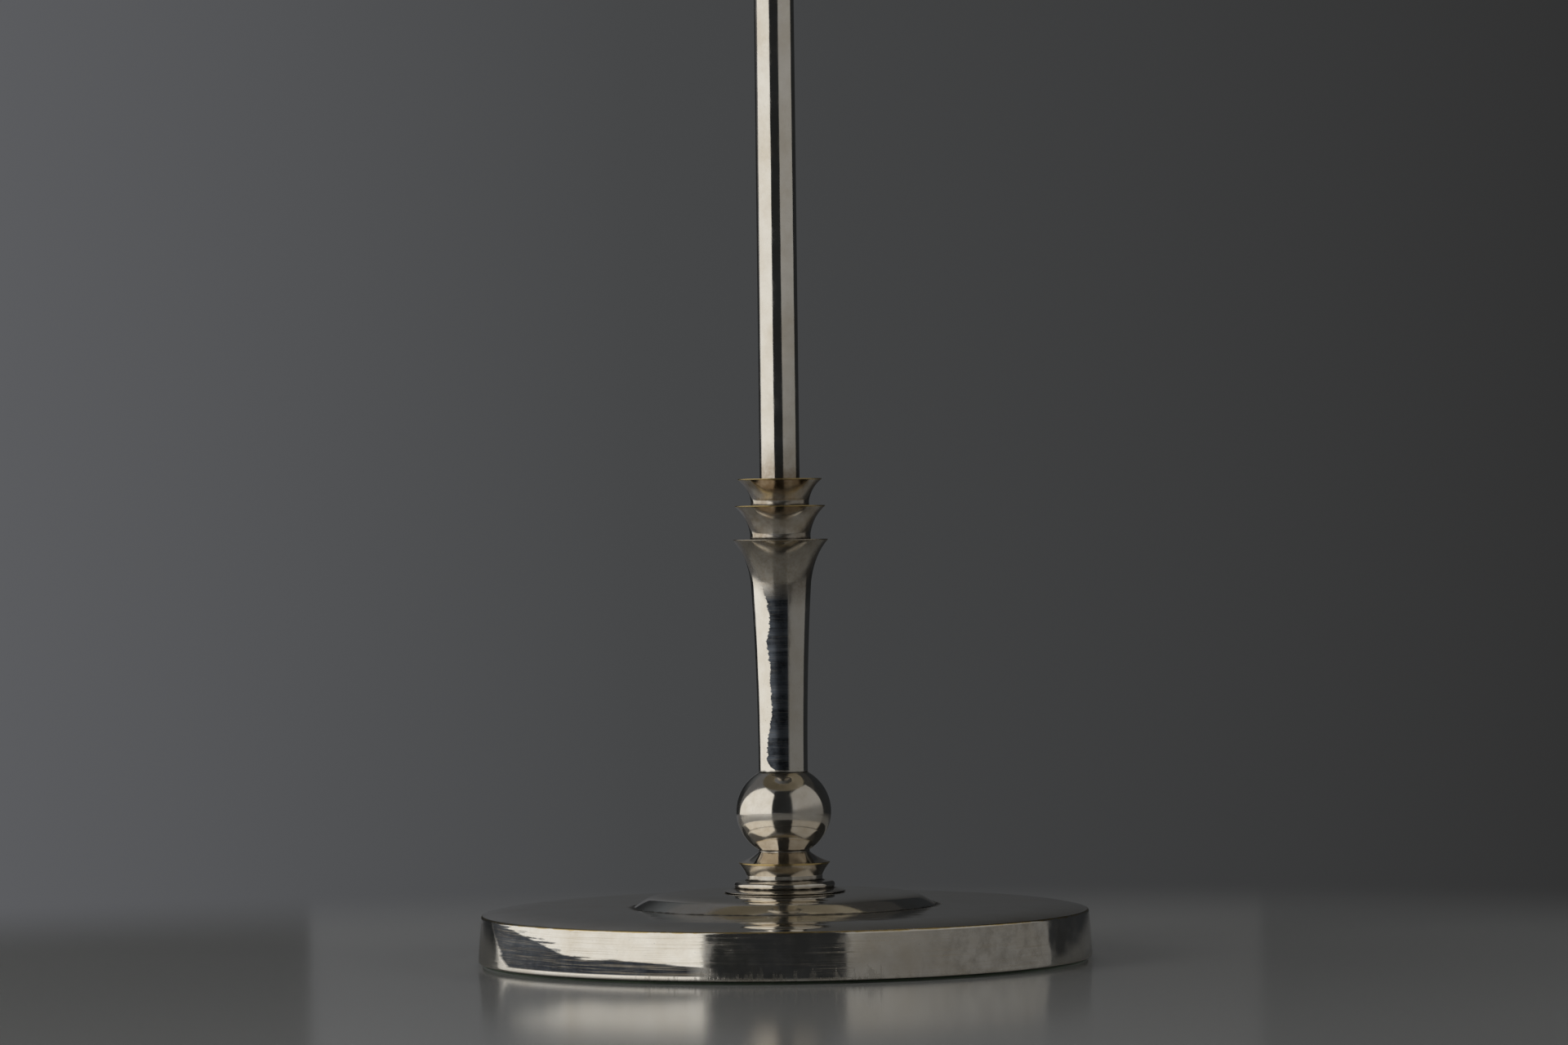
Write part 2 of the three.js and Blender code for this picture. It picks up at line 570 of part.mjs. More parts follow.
function holderShell() {
  const top = SHELL_SHOULDER_HEIGHT + SHELL_SHOULDER_THICKNESS + SHELL_THREAD_LENGTH;
  const path = new THREE.Path();
  path.moveTo(SHELL_RADIUS - SHELL_WALL, 0);
  path.lineTo(SHELL_RADIUS, 0);
  path.lineTo(SHELL_RADIUS, SHELL_SHOULDER_HEIGHT);
  path.lineTo(SHELL_SHOULDER_RADIUS, SHELL_SHOULDER_HEIGHT);
  path.lineTo(SHELL_SHOULDER_RADIUS, SHELL_SHOULDER_HEIGHT + SHELL_SHOULDER_THICKNESS);
  path.lineTo(SHELL_THREAD_RADIUS, SHELL_SHOULDER_HEIGHT + SHELL_SHOULDER_THICKNESS);
  path.lineTo(SHELL_THREAD_RADIUS, top);
  path.lineTo(innerThreadRadius, top);
  path.lineTo(innerThreadRadius, SHELL_SHOULDER_HEIGHT);
  path.lineTo(SHELL_RADIUS - SHELL_WALL, SHELL_SHOULDER_HEIGHT - SHELL_WALL);
  const hole = rod(SPINDLE_RADIUS + FIT_GAP, 4 * SHELL_WALL, SMALL_SEGMENTS);
  hole.rotateY(Math.PI / 2);
  hole.translate(SHELL_RADIUS, 0, keyHeight - shellBottom);
  return cut(turnedPath(path), hole);
}

function switchBlock() {
  const radius = SHELL_RADIUS - SHELL_WALL - FIT_GAP;
  const hole = rod(SPINDLE_RADIUS + FIT_GAP, radius, SMALL_SEGMENTS);
  hole.rotateY(Math.PI / 2);
  hole.translate(SPINDLE_START - FIT_GAP + radius / 2, 0, SWITCH_BLOCK_HEIGHT / 2);
  const block = rod(radius, SWITCH_BLOCK_HEIGHT);
  block.translate(0, 0, SWITCH_BLOCK_HEIGHT / 2);
  return cut(block, hole);
}

// A bowed leaf spring, arched across the bottom of the socket
function centreContact() {
  const half = CONTACT_SPAN / 2;
  const top = CONTACT_RISE + CONTACT_THICKNESS;
  const outline = new THREE.Shape();
  outline.moveTo(-half, 0);
  outline.lineTo(-half + CONTACT_THICKNESS, 0);
  outline.quadraticCurveTo(-half / 2, CONTACT_RISE, 0, CONTACT_RISE);
  outline.quadraticCurveTo(half / 2, CONTACT_RISE, half - CONTACT_THICKNESS, 0);
  outline.lineTo(half, 0);
  outline.quadraticCurveTo(half / 2 + CONTACT_THICKNESS, top, 0, top);
  outline.quadraticCurveTo(-half / 2 - CONTACT_THICKNESS, top, -half, 0);
  const strip = new THREE.ExtrudeGeometry(
    outline,
    { depth: CONTACT_WIDTH, bevelEnabled: false, curveSegments: CURVE_STEPS },
  );
  strip.rotateX(Math.PI / 2);
  strip.translate(0, CONTACT_WIDTH / 2, 0);
  return strip;
}

function mouthRing() {
  const outer = innerThreadRadius - FIT_GAP;
  const inner = SCREW_SHELL_RADIUS + SCREW_SHELL_WALL + FIT_GAP;
  const path = new THREE.Path();
  path.moveTo(inner, 0);
  path.lineTo(outer, 0);
  path.lineTo(outer, MOUTH_RING_HEIGHT - 1);
  path.quadraticCurveTo(outer, MOUTH_RING_HEIGHT, outer - 1, MOUTH_RING_HEIGHT);
  path.lineTo(inner, MOUTH_RING_HEIGHT);
  return turned(path.getPoints(SMALL_CURVE_STEPS));
}

// Turn key along +Z: a neck that takes the spindle, and a flat oval to hold
function switchKey() {
  const bore = SPINDLE_RADIUS + FIT_GAP;
  const neck = ring(bore, KEY_NECK_RADIUS, KEY_NECK_LENGTH, SMALL_SEGMENTS);
  const floor = rod(KEY_NECK_RADIUS, KEY_FLOOR_THICKNESS, SMALL_SEGMENTS);
  floor.translate(0, 0, KEY_NECK_LENGTH);
  const oval = new THREE.Shape();
  oval.absellipse(
    0, 0, KEY_WIDTH / 2 - KEY_EDGE_ROUND, KEY_LENGTH / 2 - KEY_EDGE_ROUND, 0, 2 * Math.PI, false, 0,
  );
  const paddle = new THREE.ExtrudeGeometry(oval, {
    depth: KEY_THICKNESS - 2 * KEY_EDGE_ROUND,
    bevelThickness: KEY_EDGE_ROUND,
    bevelSize: KEY_EDGE_ROUND,
    bevelSegments: 1,
    curveSegments: 10,
  });
  paddle.rotateX(Math.PI / 2);
  paddle.translate(0, KEY_THICKNESS / 2 - KEY_EDGE_ROUND, KEY_NECK_LENGTH + KEY_LENGTH / 2);
  return join(join(neck, floor), paddle);
}

function bulbInsulator() {
  const path = new THREE.Path();
  path.moveTo(0, 0);
  path.lineTo(BULB_TIP_RADIUS, 0);
  path.lineTo(BULB_INSULATOR_RADIUS, BULB_INSULATOR_HEIGHT);
  path.lineTo(0, BULB_INSULATOR_HEIGHT);
  return turnedPath(path, SMALL_SEGMENTS);
}

function bulbCap() {
  const wall = BULB_CAP_WALL;
  const path = new THREE.Path();
  path.moveTo(BULB_TIP_RADIUS, 0);
  path.lineTo(BULB_INSULATOR_RADIUS, 0);
  path.lineTo(BULB_CAP_RADIUS, BULB_CAP_RADIUS - BULB_INSULATOR_RADIUS);
  path.lineTo(BULB_CAP_RADIUS, BULB_CAP_HEIGHT);
  path.lineTo(BULB_CAP_RADIUS - wall, BULB_CAP_HEIGHT);
  path.lineTo(BULB_CAP_RADIUS - wall, BULB_CAP_RADIUS - BULB_INSULATOR_RADIUS);
  path.lineTo(BULB_INSULATOR_RADIUS, wall);
  path.lineTo(BULB_TIP_RADIUS, wall);
  return turnedPath(path, BULB_SEGMENTS);
}

// Pear-shaped glass: a straight neck that swells into a globe, followed at a given depth inside
function bulbOutline(inset) {
  const globe = BULB_GLOBE_RADIUS - inset;
  const neck = bulbNeckRadius - inset;
  const meet = Math.PI / 6;
  const meetRadius = globe * Math.cos(meet);
  const meetHeight = BULB_GLOBE_HEIGHT - globe * Math.sin(meet);
  const pull = BULB_GLOBE_RADIUS / 2;
  const path = new THREE.Path();
  path.moveTo(neck, 0);
  path.lineTo(neck, BULB_NECK_SOCKET);
  path.bezierCurveTo(
    neck, BULB_NECK_SOCKET + pull,
    meetRadius - pull * Math.sin(meet), meetHeight - pull * Math.cos(meet),
    meetRadius, meetHeight,
  );
  path.absarc(0, BULB_GLOBE_HEIGHT, globe, -meet, Math.PI / 2, false);
  return path.getPoints(CURVE_STEPS - 1);
}

function bulbGlass() {
  return turned([...bulbOutline(0), ...bulbOutline(BULB_GLASS_WALL).reverse()], BULB_SEGMENTS);
}

function wireRing(radius, segments) {
  const path = new THREE.Path();
  path.absarc(radius, 0, WIRE_RADIUS, 0, 2 * Math.PI, false);
  const points = path.getPoints(WIRE_SIDES / 2);
  points.pop();
  return turned(points, segments);
}

// Round wire bent through points that lie in the XZ plane, as [radius, height]
function bentWire(points, steps) {
  const curve = new THREE.CatmullRomCurve3(points.map(([r, z]) => new THREE.Vector3(r, 0, z)));
  const section = new THREE.Shape();
  section.absarc(0, 0, WIRE_RADIUS, 0, 2 * Math.PI, false);
  return new THREE.ExtrudeGeometry(section, {
    steps,
    curveSegments: WIRE_SIDES / 2,
    extrudePath: curve,
  });
}

function carrierWire() {
  const foot = SHELL_THREAD_RADIUS + FIT_GAP + CARRIER_RING_WIDTH - WIRE_RADIUS;
  const bottom = carrierRingTop + FIT_GAP;
  const top = carrierTopCentre - WIRE_RADIUS - FIT_GAP;
  const height = top - bottom;
  return bentWire([
    [foot, bottom],
    [foot, bottom + 0.08 * height],
    [CARRIER_BELLY_RADIUS, bottom + 0.56 * height],
    [CARRIER_TOP_RADIUS + 0.5 * (CARRIER_BELLY_RADIUS - CARRIER_TOP_RADIUS), bottom + 0.87 * height],
    [CARRIER_TOP_RADIUS, top - WIRE_RADIUS],
    [CARRIER_TOP_RADIUS, top],
  ], BOWED_WIRE_STEPS);
}

// Threaded ring with a fluted edge for the fingers
function shadeRing() {
  const inner = SHELL_THREAD_RADIUS + FIT_GAP;
  const outer = inner + SHADE_RING_WIDTH;
  const outline = new THREE.Shape();
  for (let i = 0; i < 2 * SHADE_RING_FLUTES; i += 1) {
    const angle = i * Math.PI / SHADE_RING_FLUTES;
    const radius = i % 2 === 0 ? outer : outer - SHADE_RING_FLUTE_DEPTH;
    if (i === 0) outline.moveTo(radius, 0);
    else outline.lineTo(radius * Math.cos(angle), radius * Math.sin(angle));
  }
  outline.holes.push(new THREE.Path().absarc(0, 0, inner, 0, 2 * Math.PI, true));
  return new THREE.ExtrudeGeometry(
    outline,
    { depth: SHADE_RING_HEIGHT, bevelEnabled: false, curveSegments: SMALL_SEGMENTS },
  );
}

function shadeHub() {
  const skirtOuter = CARRIER_TOP_RADIUS - WIRE_RADIUS - FIT_GAP;
  const path = new THREE.Path();
  path.moveTo(skirtOuter - HUB_SKIRT_WALL, -HUB_SKIRT_DEPTH);
  path.lineTo(skirtOuter, -HUB_SKIRT_DEPTH);
  path.lineTo(skirtOuter, 0);
  path.lineTo(HUB_FLANGE_RADIUS, 0);
  path.lineTo(HUB_FLANGE_RADIUS, HUB_FLANGE_THICKNESS);
  path.lineTo(HUB_HOLE_RADIUS, HUB_FLANGE_THICKNESS);
  path.lineTo(HUB_HOLE_RADIUS, 0);
  path.lineTo(skirtOuter - HUB_SKIRT_WALL, 0);
  return turnedPath(path);
}

// The cone of the shade: its inside radius at a height above its bottom edge
const shadeSlope = (SHADE_BOTTOM_RADIUS - SHADE_TOP_RADIUS) / SHADE_HEIGHT;
const shadeRingOffset = (WIRE_RADIUS + FIT_GAP) * Math.hypot(1, shadeSlope);

function shadeInside(height) {
  return SHADE_BOTTOM_RADIUS - SHADE_THICKNESS - shadeSlope * height;
}

function shadeCover() {
  const path = new THREE.Path();
  path.moveTo(shadeInside(0), 0);
  path.lineTo(SHADE_BOTTOM_RADIUS, 0);
  path.lineTo(SHADE_TOP_RADIUS, SHADE_HEIGHT);
  path.lineTo(shadeInside(SHADE_HEIGHT), SHADE_HEIGHT);
  return turnedPath(path, LARGE_SEGMENTS);
}

const shadeTopRingRadius = shadeInside(SHADE_HEIGHT - SHADE_RING_INSET) - shadeRingOffset;
const shadeBottomRingRadius = shadeInside(SHADE_RING_INSET) - shadeRingOffset;

function spiderArm() {
  const end = shadeTopRingRadius - WIRE_RADIUS - FIT_GAP;
  return bentWire([
    [SPIDER_ARM_START, spiderArmHeight],
    [SPIDER_ARM_START + SPIDER_ARM_FLAT, spiderArmHeight],
    [(SPIDER_ARM_START + SPIDER_ARM_FLAT + end) / 2, spiderArmHeight + SPIDER_DROP / 2],
    [end, shadeTopRingHeight],
  ], ARM_STEPS);
}

// Surfaces
function surface(color, roughness, metalness) {
  return new THREE.MeshStandardMaterial({ color, roughness, metalness });
}

const silverPlate = surface(0xd3cbc0, 0.12, 1);
const brass = surface(0xb5945a, 0.3, 1);
const steel = surface(0x8d8f92, 0.4, 1);
const castIron = surface(0x3a3836, 0.75, 0.6);
const felt = surface(0x2f3a2c, 0.95, 0);
const phenolic = surface(0x2a1a12, 0.35, 0);
const porcelain = surface(0xe9e4d8, 0.2, 0);
const opalGlass = surface(0xf2eee4, 0.15, 0);
const linen = surface(0xe4d9c0, 0.9, 0);

const lamp = new THREE.Group();

function add(group, name, geometry, material, z = 0) {
  const mesh = new THREE.Mesh(geometry, material.clone());
  mesh.name = name;
  mesh.position.z = z;
  group.add(mesh);
  return mesh;
}

// Base
const base = new THREE.Group();
lamp.add(base);
add(base, 'felt_pad', rod(BASE_RADIUS - FELT_INSET, FELT_THICKNESS, LARGE_SEGMENTS), felt, FELT_THICKNESS / 2);
add(base, 'base_shell', baseShell(), silverPlate, FELT_THICKNESS);
add(base, 'base_weight', baseCasting(), castIron, FELT_THICKNESS);
const bush = add(base, 'cord_bush', cordBush(), phenolic, INLET_HEIGHT);
bush.rotation.x = -Math.PI / 2;
bush.position.y = bushSeat;
add(base, 'raised_plate', raisedPlate(), silverPlate, baseTop);
const spacer = ring(rodHole, SPACER_RADIUS, PLATE_HEIGHT - PLATE_WALL, SMALL_SEGMENTS);
add(base, 'plate_spacer', spacer, brass, baseTop);

// Tie rod, and the nut and washers in the recess under the casting
const recessTop = FELT_THICKNESS + NUT_RECESS_DEPTH;
const washerBottom = recessTop - WASHER_THICKNESS;
const lockWasherBottom = washerBottom - LOCK_WASHER_THICKNESS;
const nutBottom = lockWasherBottom - NUT_HEIGHT;
const rodBottom = nutBottom - ROD_TAIL;
const rodTop = holderCapBottom + holderFloor;
const washer = ring(rodHole, WASHER_RADIUS, WASHER_THICKNESS, SMALL_SEGMENTS);
add(base, 'rod_washer', washer, steel, washerBottom);
add(base, 'lock_washer', lockWasher(), steel, lockWasherBottom);
add(base, 'rod_nut', hexNut(NUT_HEIGHT), brass, nutBottom);
const tieRod = ring(ROD_BORE_RADIUS, ROD_RADIUS, rodTop - rodBottom, SMALL_SEGMENTS);
add(base, 'tie_rod', tieRod, steel, rodBottom);

// Turned stack
const stem = new THREE.Group();
lamp.add(stem);
add(stem, 'foot_ring', footRing(), silverPlate, plateTop);
add(stem, 'foot_moulding', footMoulding(), silverPlate, footRingTop);
add(stem, 'ball', ball(), silverPlate, ballBottom);
add(stem, 'column', column(), silverPlate, columnBottom);
add(stem, 'collar_lower', collarLower(), silverPlate, lowerCollarBottom);
add(stem, 'collar_upper', collarUpper(), silverPlate, upperCollarBottom);
add(stem, 'stem_tube', ring(STEM_RADIUS - STEM_WALL, STEM_RADIUS, STEM_LENGTH), silverPlate, stemBottom);
add(stem, 'stem_cap', stemCap(), silverPlate, stemTop);
add(stem, 'top_nut', hexNut(TOP_NUT_HEIGHT), brass, stemCapTop);

// Lampholder
const holder = new THREE.Group();
lamp.add(holder);
add(holder, 'holder_cap', holderCap(), brass, holderCapBottom);
const grub = add(holder, 'holder_grub_screw', grubScrew(), steel, holderCapBottom + HOLDER_BOSS_HEIGHT / 2);
grub.rotation.x = -Math.PI / 2;
grub.position.y = ROD_RADIUS + FIT_GAP + GRUB_SCREW_LENGTH / 2;
add(holder, 'holder_shell', holderShell(), brass, shellBottom);
add(holder, 'switch_block', switchBlock(), phenolic, switchBottom);
const insertHeight = insertBottom + INSERT_HEIGHT / 2;
add(holder, 'porcelain_insert', rod(innerThreadRadius - FIT_GAP, INSERT_HEIGHT), porcelain, insertHeight);
add(holder, 'centre_contact', centreContact(), brass, insertTop);
const screwShell = ring(SCREW_SHELL_RADIUS, SCREW_SHELL_RADIUS + SCREW_SHELL_WALL, SCREW_SHELL_HEIGHT);
add(holder, 'screw_shell', screwShell, brass, insertTop);
add(holder, 'mouth_ring', mouthRing(), porcelain, insertTop);

// Turn switch
const spindleEnd = SHELL_RADIUS + SPINDLE_REACH;
const spindleLength = spindleEnd - SPINDLE_START;
const spindle = add(holder, 'switch_spindle', rod(SPINDLE_RADIUS, spindleLength, SMALL_SEGMENTS), brass, keyHeight);
spindle.rotation.y = Math.PI / 2;
spindle.position.x = SPINDLE_START + spindleLength / 2;
const key = add(holder, 'switch_key', switchKey(), phenolic, keyHeight);
key.rotation.y = Math.PI / 2;
key.position.x = spindleEnd + FIT_GAP - (KEY_NECK_LENGTH - 2 * FIT_GAP);

// Bulb
const bulb = new THREE.Group();
lamp.add(bulb);
const bulbTip = rod(BULB_TIP_RADIUS, BULB_TIP_HEIGHT, SMALL_SEGMENTS);
add(bulb, 'bulb_contact', bulbTip, steel, bulbBottom + BULB_TIP_HEIGHT / 2);
add(bulb, 'bulb_insulator', bulbInsulator(), phenolic, bulbBottom + BULB_TIP_HEIGHT);
add(bulb, 'bulb_cap', bulbCap(), brass, bulbCapBottom);
add(bulb, 'bulb_glass', bulbGlass(), opalGlass, bulbGlassBottom);

// Shade carrier
const carrier = new THREE.Group();
lamp.add(carrier);
const carrierInner = SHELL_THREAD_RADIUS + FIT_GAP;
const carrierRing = ring(carrierInner, carrierInner + CARRIER_RING_WIDTH, CARRIER_RING_THICKNESS);
add(carrier, 'carrier_base_ring', carrierRing, brass, shoulderTop);
add(carrier, 'shade_ring', shadeRing(), brass, carrierRingTop);
for (let i = 0; i < CARRIER_COUNT; i += 1) {
  const wire = add(carrier, `carrier_wire_${i + 1}`, carrierWire(), brass);
  wire.rotation.z = -Math.PI / 2 + i * 2 * Math.PI / CARRIER_COUNT;
}
add(carrier, 'carrier_top_ring', wireRing(CARRIER_TOP_RADIUS, TURNED_SEGMENTS), brass, carrierTopCentre);

// Shade
const shade = new THREE.Group();
lamp.add(shade);
add(shade, 'shade_hub', shadeHub(), brass, hubBottom);
for (let i = 0; i < SPIDER_ARM_COUNT; i += 1) {
  const arm = add(shade, `shade_arm_${i + 1}`, spiderArm(), brass);
  arm.rotation.z = Math.PI / 2 + i * 2 * Math.PI / SPIDER_ARM_COUNT;
}
add(shade, 'shade_top_ring', wireRing(shadeTopRingRadius, LARGE_SEGMENTS), brass, shadeTopRingHeight);
const bottomRingHeight = shadeBottom + SHADE_RING_INSET;
add(shade, 'shade_bottom_ring', wireRing(shadeBottomRingRadius, LARGE_SEGMENTS), brass, bottomRingHeight);
add(shade, 'shade_cover', shadeCover(), linen, shadeBottom);

export default lamp;
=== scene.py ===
"""A table lamp in worn silver plate, dressed for a studio picture. Metres, +Z up, front is -Y.

The turned pieces are outlines in millimetres, spun about the stem. Each outline marks where the
plate has worn off its edges and where polish and dirt have gathered in its joints.
"""
import math
from functools import partial

import bmesh
import bpy
from mathutils import Matrix, Vector, noise


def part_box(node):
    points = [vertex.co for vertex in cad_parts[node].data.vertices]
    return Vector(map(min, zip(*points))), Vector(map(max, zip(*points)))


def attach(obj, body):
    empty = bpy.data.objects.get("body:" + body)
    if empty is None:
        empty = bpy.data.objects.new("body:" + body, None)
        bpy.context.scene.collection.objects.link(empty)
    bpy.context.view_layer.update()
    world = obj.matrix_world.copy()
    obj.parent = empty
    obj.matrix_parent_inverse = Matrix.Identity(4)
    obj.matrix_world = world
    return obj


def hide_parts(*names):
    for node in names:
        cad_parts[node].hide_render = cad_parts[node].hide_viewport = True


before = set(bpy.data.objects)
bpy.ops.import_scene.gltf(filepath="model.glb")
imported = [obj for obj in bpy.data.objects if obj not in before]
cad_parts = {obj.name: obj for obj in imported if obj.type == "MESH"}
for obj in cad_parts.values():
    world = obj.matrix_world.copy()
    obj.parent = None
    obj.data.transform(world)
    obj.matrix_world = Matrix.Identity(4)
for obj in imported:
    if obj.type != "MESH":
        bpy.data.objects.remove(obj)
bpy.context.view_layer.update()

MM = 0.001
STACK_SEGMENTS = 192
BASE_SEGMENTS = 320
SMALL_SEGMENTS = 96


def foot(node):
    """Height of a CAD node's lowest point, in mm."""
    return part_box(node)[0].z / MM


def top(node):
    """Height of a CAD node's highest point, in mm."""
    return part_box(node)[1].z / MM


def tall(node):
    """Height of a CAD node, in mm."""
    return top(node) - foot(node)


def middle(node):
    """Height of a CAD node's middle, in mm."""
    return (foot(node) + top(node)) / 2


def reach(node):
    """Radius of a turned CAD node about the stem, in mm."""
    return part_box(node)[1].x / MM


# Colours and nodes


def linear(code):
    """An sRGB hex code as a linear colour with alpha."""
    channels = [int(code[i:i + 2], 16) / 255 for i in (0, 2, 4)]
    return [c / 12.92 if c <= 0.04045 else ((c + 0.055) / 1.055) ** 2.4 for c in channels] + [1.0]


def output_of(source):
    """A node's first output in use. Anything else stays as it is."""
    if isinstance(source, bpy.types.Node):
        return next(socket for socket in source.outputs if socket.enabled)
    return source


def node(tree, kind, inputs=(), operation=None, stops=(), **settings):
    """Adds one shader node, or geometry node where there is no such shader node, with its settings.
    Inputs, by name or in order, give each socket a value, or the socket or node that feeds it. Stops
    give a ramp its places and colours."""
    family = "ShaderNode" if hasattr(bpy.types, "ShaderNode" + kind) else "GeometryNode"
    made = tree.nodes.new(family + kind)
    if operation:
        made.operation = operation
    for name, value in settings.items():
        setattr(made, name, value)
    for name, value in inputs.items() if isinstance(inputs, dict) else enumerate(inputs):
        value = output_of(value)
        if isinstance(value, bpy.types.NodeSocket):
            tree.links.new(value, made.inputs[name])
        else:
            made.inputs[name].default_value = value
    for i, (place, colour) in enumerate(stops):
        if i > 1:
            made.color_ramp.elements.new(place)
        made.color_ramp.elements[i].position = place
        made.color_ramp.elements[i].color = colour
    return made


def new_material(name, **shader_values):
    """A material with its Principled shader set, and what adds nodes to it."""
    material = bpy.data.materials.new(name)
    material.use_nodes = True
    shader = material.node_tree.nodes["Principled BSDF"]
    for socket, value in shader_values.items():
        shader.inputs[socket.replace("_", " ")].default_value = value
    return material, partial(node, material.node_tree)


def finish(material, **inputs):
    """Feeds a material's shader."""
    tree = material.node_tree
    for name, source in inputs.items():
        socket = tree.nodes["Principled BSDF"].inputs[name.replace("_", " ")]
        tree.links.new(output_of(source), socket)
    return material


# Outlines


class Outline:
    """A closed outline to spin, as (radius, height) in mm: up the outside and down the inside."""

    def __init__(self, radius, height):
        self.points = [(radius, height)]
        self.worn = []
        self.soiled = []

    def line(self, radius, height, steps=1):
        start = self.points[-1]
        for step in range(1, steps + 1):
            t = step / steps
            self.points.append((start[0] + t * (radius - start[0]), start[1] + t * (height - start[1])))
        return self

    def curve(self, *places, steps=24):
        """A Bezier curve over one or two pulls, as (radius, height), to the last place."""
        fixed = [self.points[-1], *places]
        for step in range(1, steps + 1):
            t, left = step / steps, fixed
            while len(left) > 1:
                left = [(a[0] + t * (b[0] - a[0]), a[1] + t * (b[1] - a[1])) for a, b in zip(left, left[1:])]
            self.points.append(left[0])
        return self

    def arc(self, centre_radius, centre_height, across, up, start, end, steps=24):
        """An elliptic arc between two angles in degrees, where 0 points outwards and 90 up."""
        for step in range(steps + 1):
            angle = math.radians(start + (end - start) * step / steps)
            place = (centre_radius + across * math.cos(angle), centre_height + up * math.sin(angle))
            self.points.append(place)
        return self

    def edge(self):
        """Marks the last point as an edge that rubbing has worn to the brass."""
        self.worn.append(self.points[-1])
        return self

    def joint(self):
        """Marks the last point as a joint where dirt and old polish stay."""
        self.soiled.append(self.points[-1])
        return self

    def rounded(self, radius, steps=3):
        """The points with every sharp corner rounded, and held flat beside the rounding."""
        sharp = math.radians(18)
        points = [p for i, p in enumerate(self.points) if math.dist(p, self.points[i - 1]) > 1e-6]
        made = []
        for i, corner in enumerate(points):
            before, after = points[i - 1], points[(i + 1) % len(points)]
            arrive = Vector(corner) - Vector(before)
            leave = Vector(after) - Vector(corner)
            on_axis = corner[0] < 1e-6
            if on_axis or arrive.angle(leave) < sharp:
                made.append(corner)
                continue
            start = Vector(corner) - arrive.normalized() * min(radius, 0.4 * arrive.length)
            end = Vector(corner) + leave.normalized() * min(radius, 0.4 * leave.length)
            if arrive.length > 4 * radius:
                made.append(tuple(start - arrive.normalized() * radius))
            for step in range(steps + 1):
                t = step / steps
                bend = (1 - t) ** 2 * start + 2 * t * (1 - t) * Vector(corner) + t * t * end
                made.append(tuple(bend))
            if leave.length > 4 * radius:
                made.append(tuple(end + leave.normalized() * radius))
        return made


def nearness(point, marks, width):
    """1 at a marked point, fading to 0 at a distance."""
    return max(0.0, 1 - min((math.dist(point, mark) for mark in marks), default=width) / width)


WORN_WIDTH = 0.9
SOILED_WIDTH = 1.6


def turned(name, outline, base_height=0.0, segments=STACK_SEGMENTS, softness=0.12, place=None):
    """Spins an outline about the stem, with how far along it, how worn and how soiled each point is.
    A place, as a matrix, then moves the piece to an axis of its own."""
    points = outline.rounded(softness) if softness else outline.points
    vertices, starts, along, worn, soiled = [], [], [], [], []
    travelled = 0.0
    for i, (radius, height) in enumerate(points):
        if i:
            travelled += math.dist(points[i - 1], points[i])
        copies = 1 if radius < 1e-6 else segments
        starts.append((len(vertices), copies))
        for step in range(copies):
            angle = 2 * math.pi * step / segments
            vertices.append(in_metres(radius, angle, base_height + height))
        along += [travelled * MM] * copies
        worn += [nearness(points[i], outline.worn, WORN_WIDTH)] * copies
        soiled += [nearness(points[i], outline.soiled, SOILED_WIDTH)] * copies
    faces = []
    for i, (low, low_copies) in enumerate(starts):
        high, high_copies = starts[(i + 1) % len(starts)]
        for step in range(segments):
            after = (step + 1) % segments
            ring = [low + step % low_copies, low + after % low_copies,
                    high + after % high_copies, high + step % high_copies]
            corners = [c for k, c in enumerate(ring) if c != ring[k - 1]]
            if len(corners) > 2:
                faces.append(corners)
    mesh = bpy.data.meshes.new(name)
    mesh.from_pydata(vertices, [], faces)
    for label, values in (("along", along), ("worn", worn), ("soiled", soiled)):
        mesh.attributes.new(label, "FLOAT", "POINT").data.foreach_set("value", values)
    if place:
        mesh.transform(place)
    return new_piece(name, mesh)


def in_metres(radius, angle, height):
    """A vertex in metres, from a radius about the stem, an angle and a height in mm."""
    return radius * math.cos(angle) * MM, radius * math.sin(angle) * MM, height * MM


def new_piece(name, mesh):
    """A smooth piece of a mesh, with its faces turned outwards."""
    work = bmesh.new()
    work.from_mesh(mesh)
    bmesh.ops.recalc_face_normals(work, faces=work.faces)
    work.to_mesh(mesh)
    work.free()
    mesh.shade_smooth()
    return linked(name, mesh)


def linked(name, data):
    """A new object of a mesh, curve, light or camera, in the scene."""
    made = bpy.data.objects.new(name, data)
    bpy.context.scene.collection.objects.link(made)
    return made


def settled(piece):
    """The piece with its modifiers turned into plain mesh."""
    name = piece.name
    depsgraph = bpy.context.evaluated_depsgraph_get()
    mesh = bpy.data.meshes.new_from_object(
        piece.evaluated_get(depsgraph), preserve_all_data_layers=True, depsgraph=depsgraph)
    bpy.data.objects.remove(piece)
    return linked(name, mesh)


def rod_outline(radius, length):
    """Plain round rod or disc."""
    return Outline(0, 0).line(radius, 0).line(radius, length).line(0, length)


def drilled(piece, start, end, radius):
    """Drills a round hole of a radius through one wall of a piece, between two places in mm."""
    reach_through = Vector(end) - Vector(start)
    turn = reach_through.to_track_quat("Z", "Y").to_matrix().to_4x4()
    drill = turned("drill", rod_outline(radius, reach_through.length), segments=SMALL_SEGMENTS,
                   softness=0, place=Matrix.Translation(Vector(start) * MM) @ turn)
    hole = piece.modifiers.new("hole", "BOOLEAN")
    hole.object = drill
    hole.solver = "EXACT"
    made = settled(piece)
    bpy.data.objects.remove(drill)
    return made


def dress(piece, body, slot, material, *nodes):
    """Gives a new piece its material and body, and hides the CAD nodes that it stands for. Its slot is not
    used.
    """
    piece.data.materials.clear()
    piece.data.materials.append(material)
    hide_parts(*nodes)
    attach(piece, body)
    return piece


# Geometry trees, for what repeats or follows a path


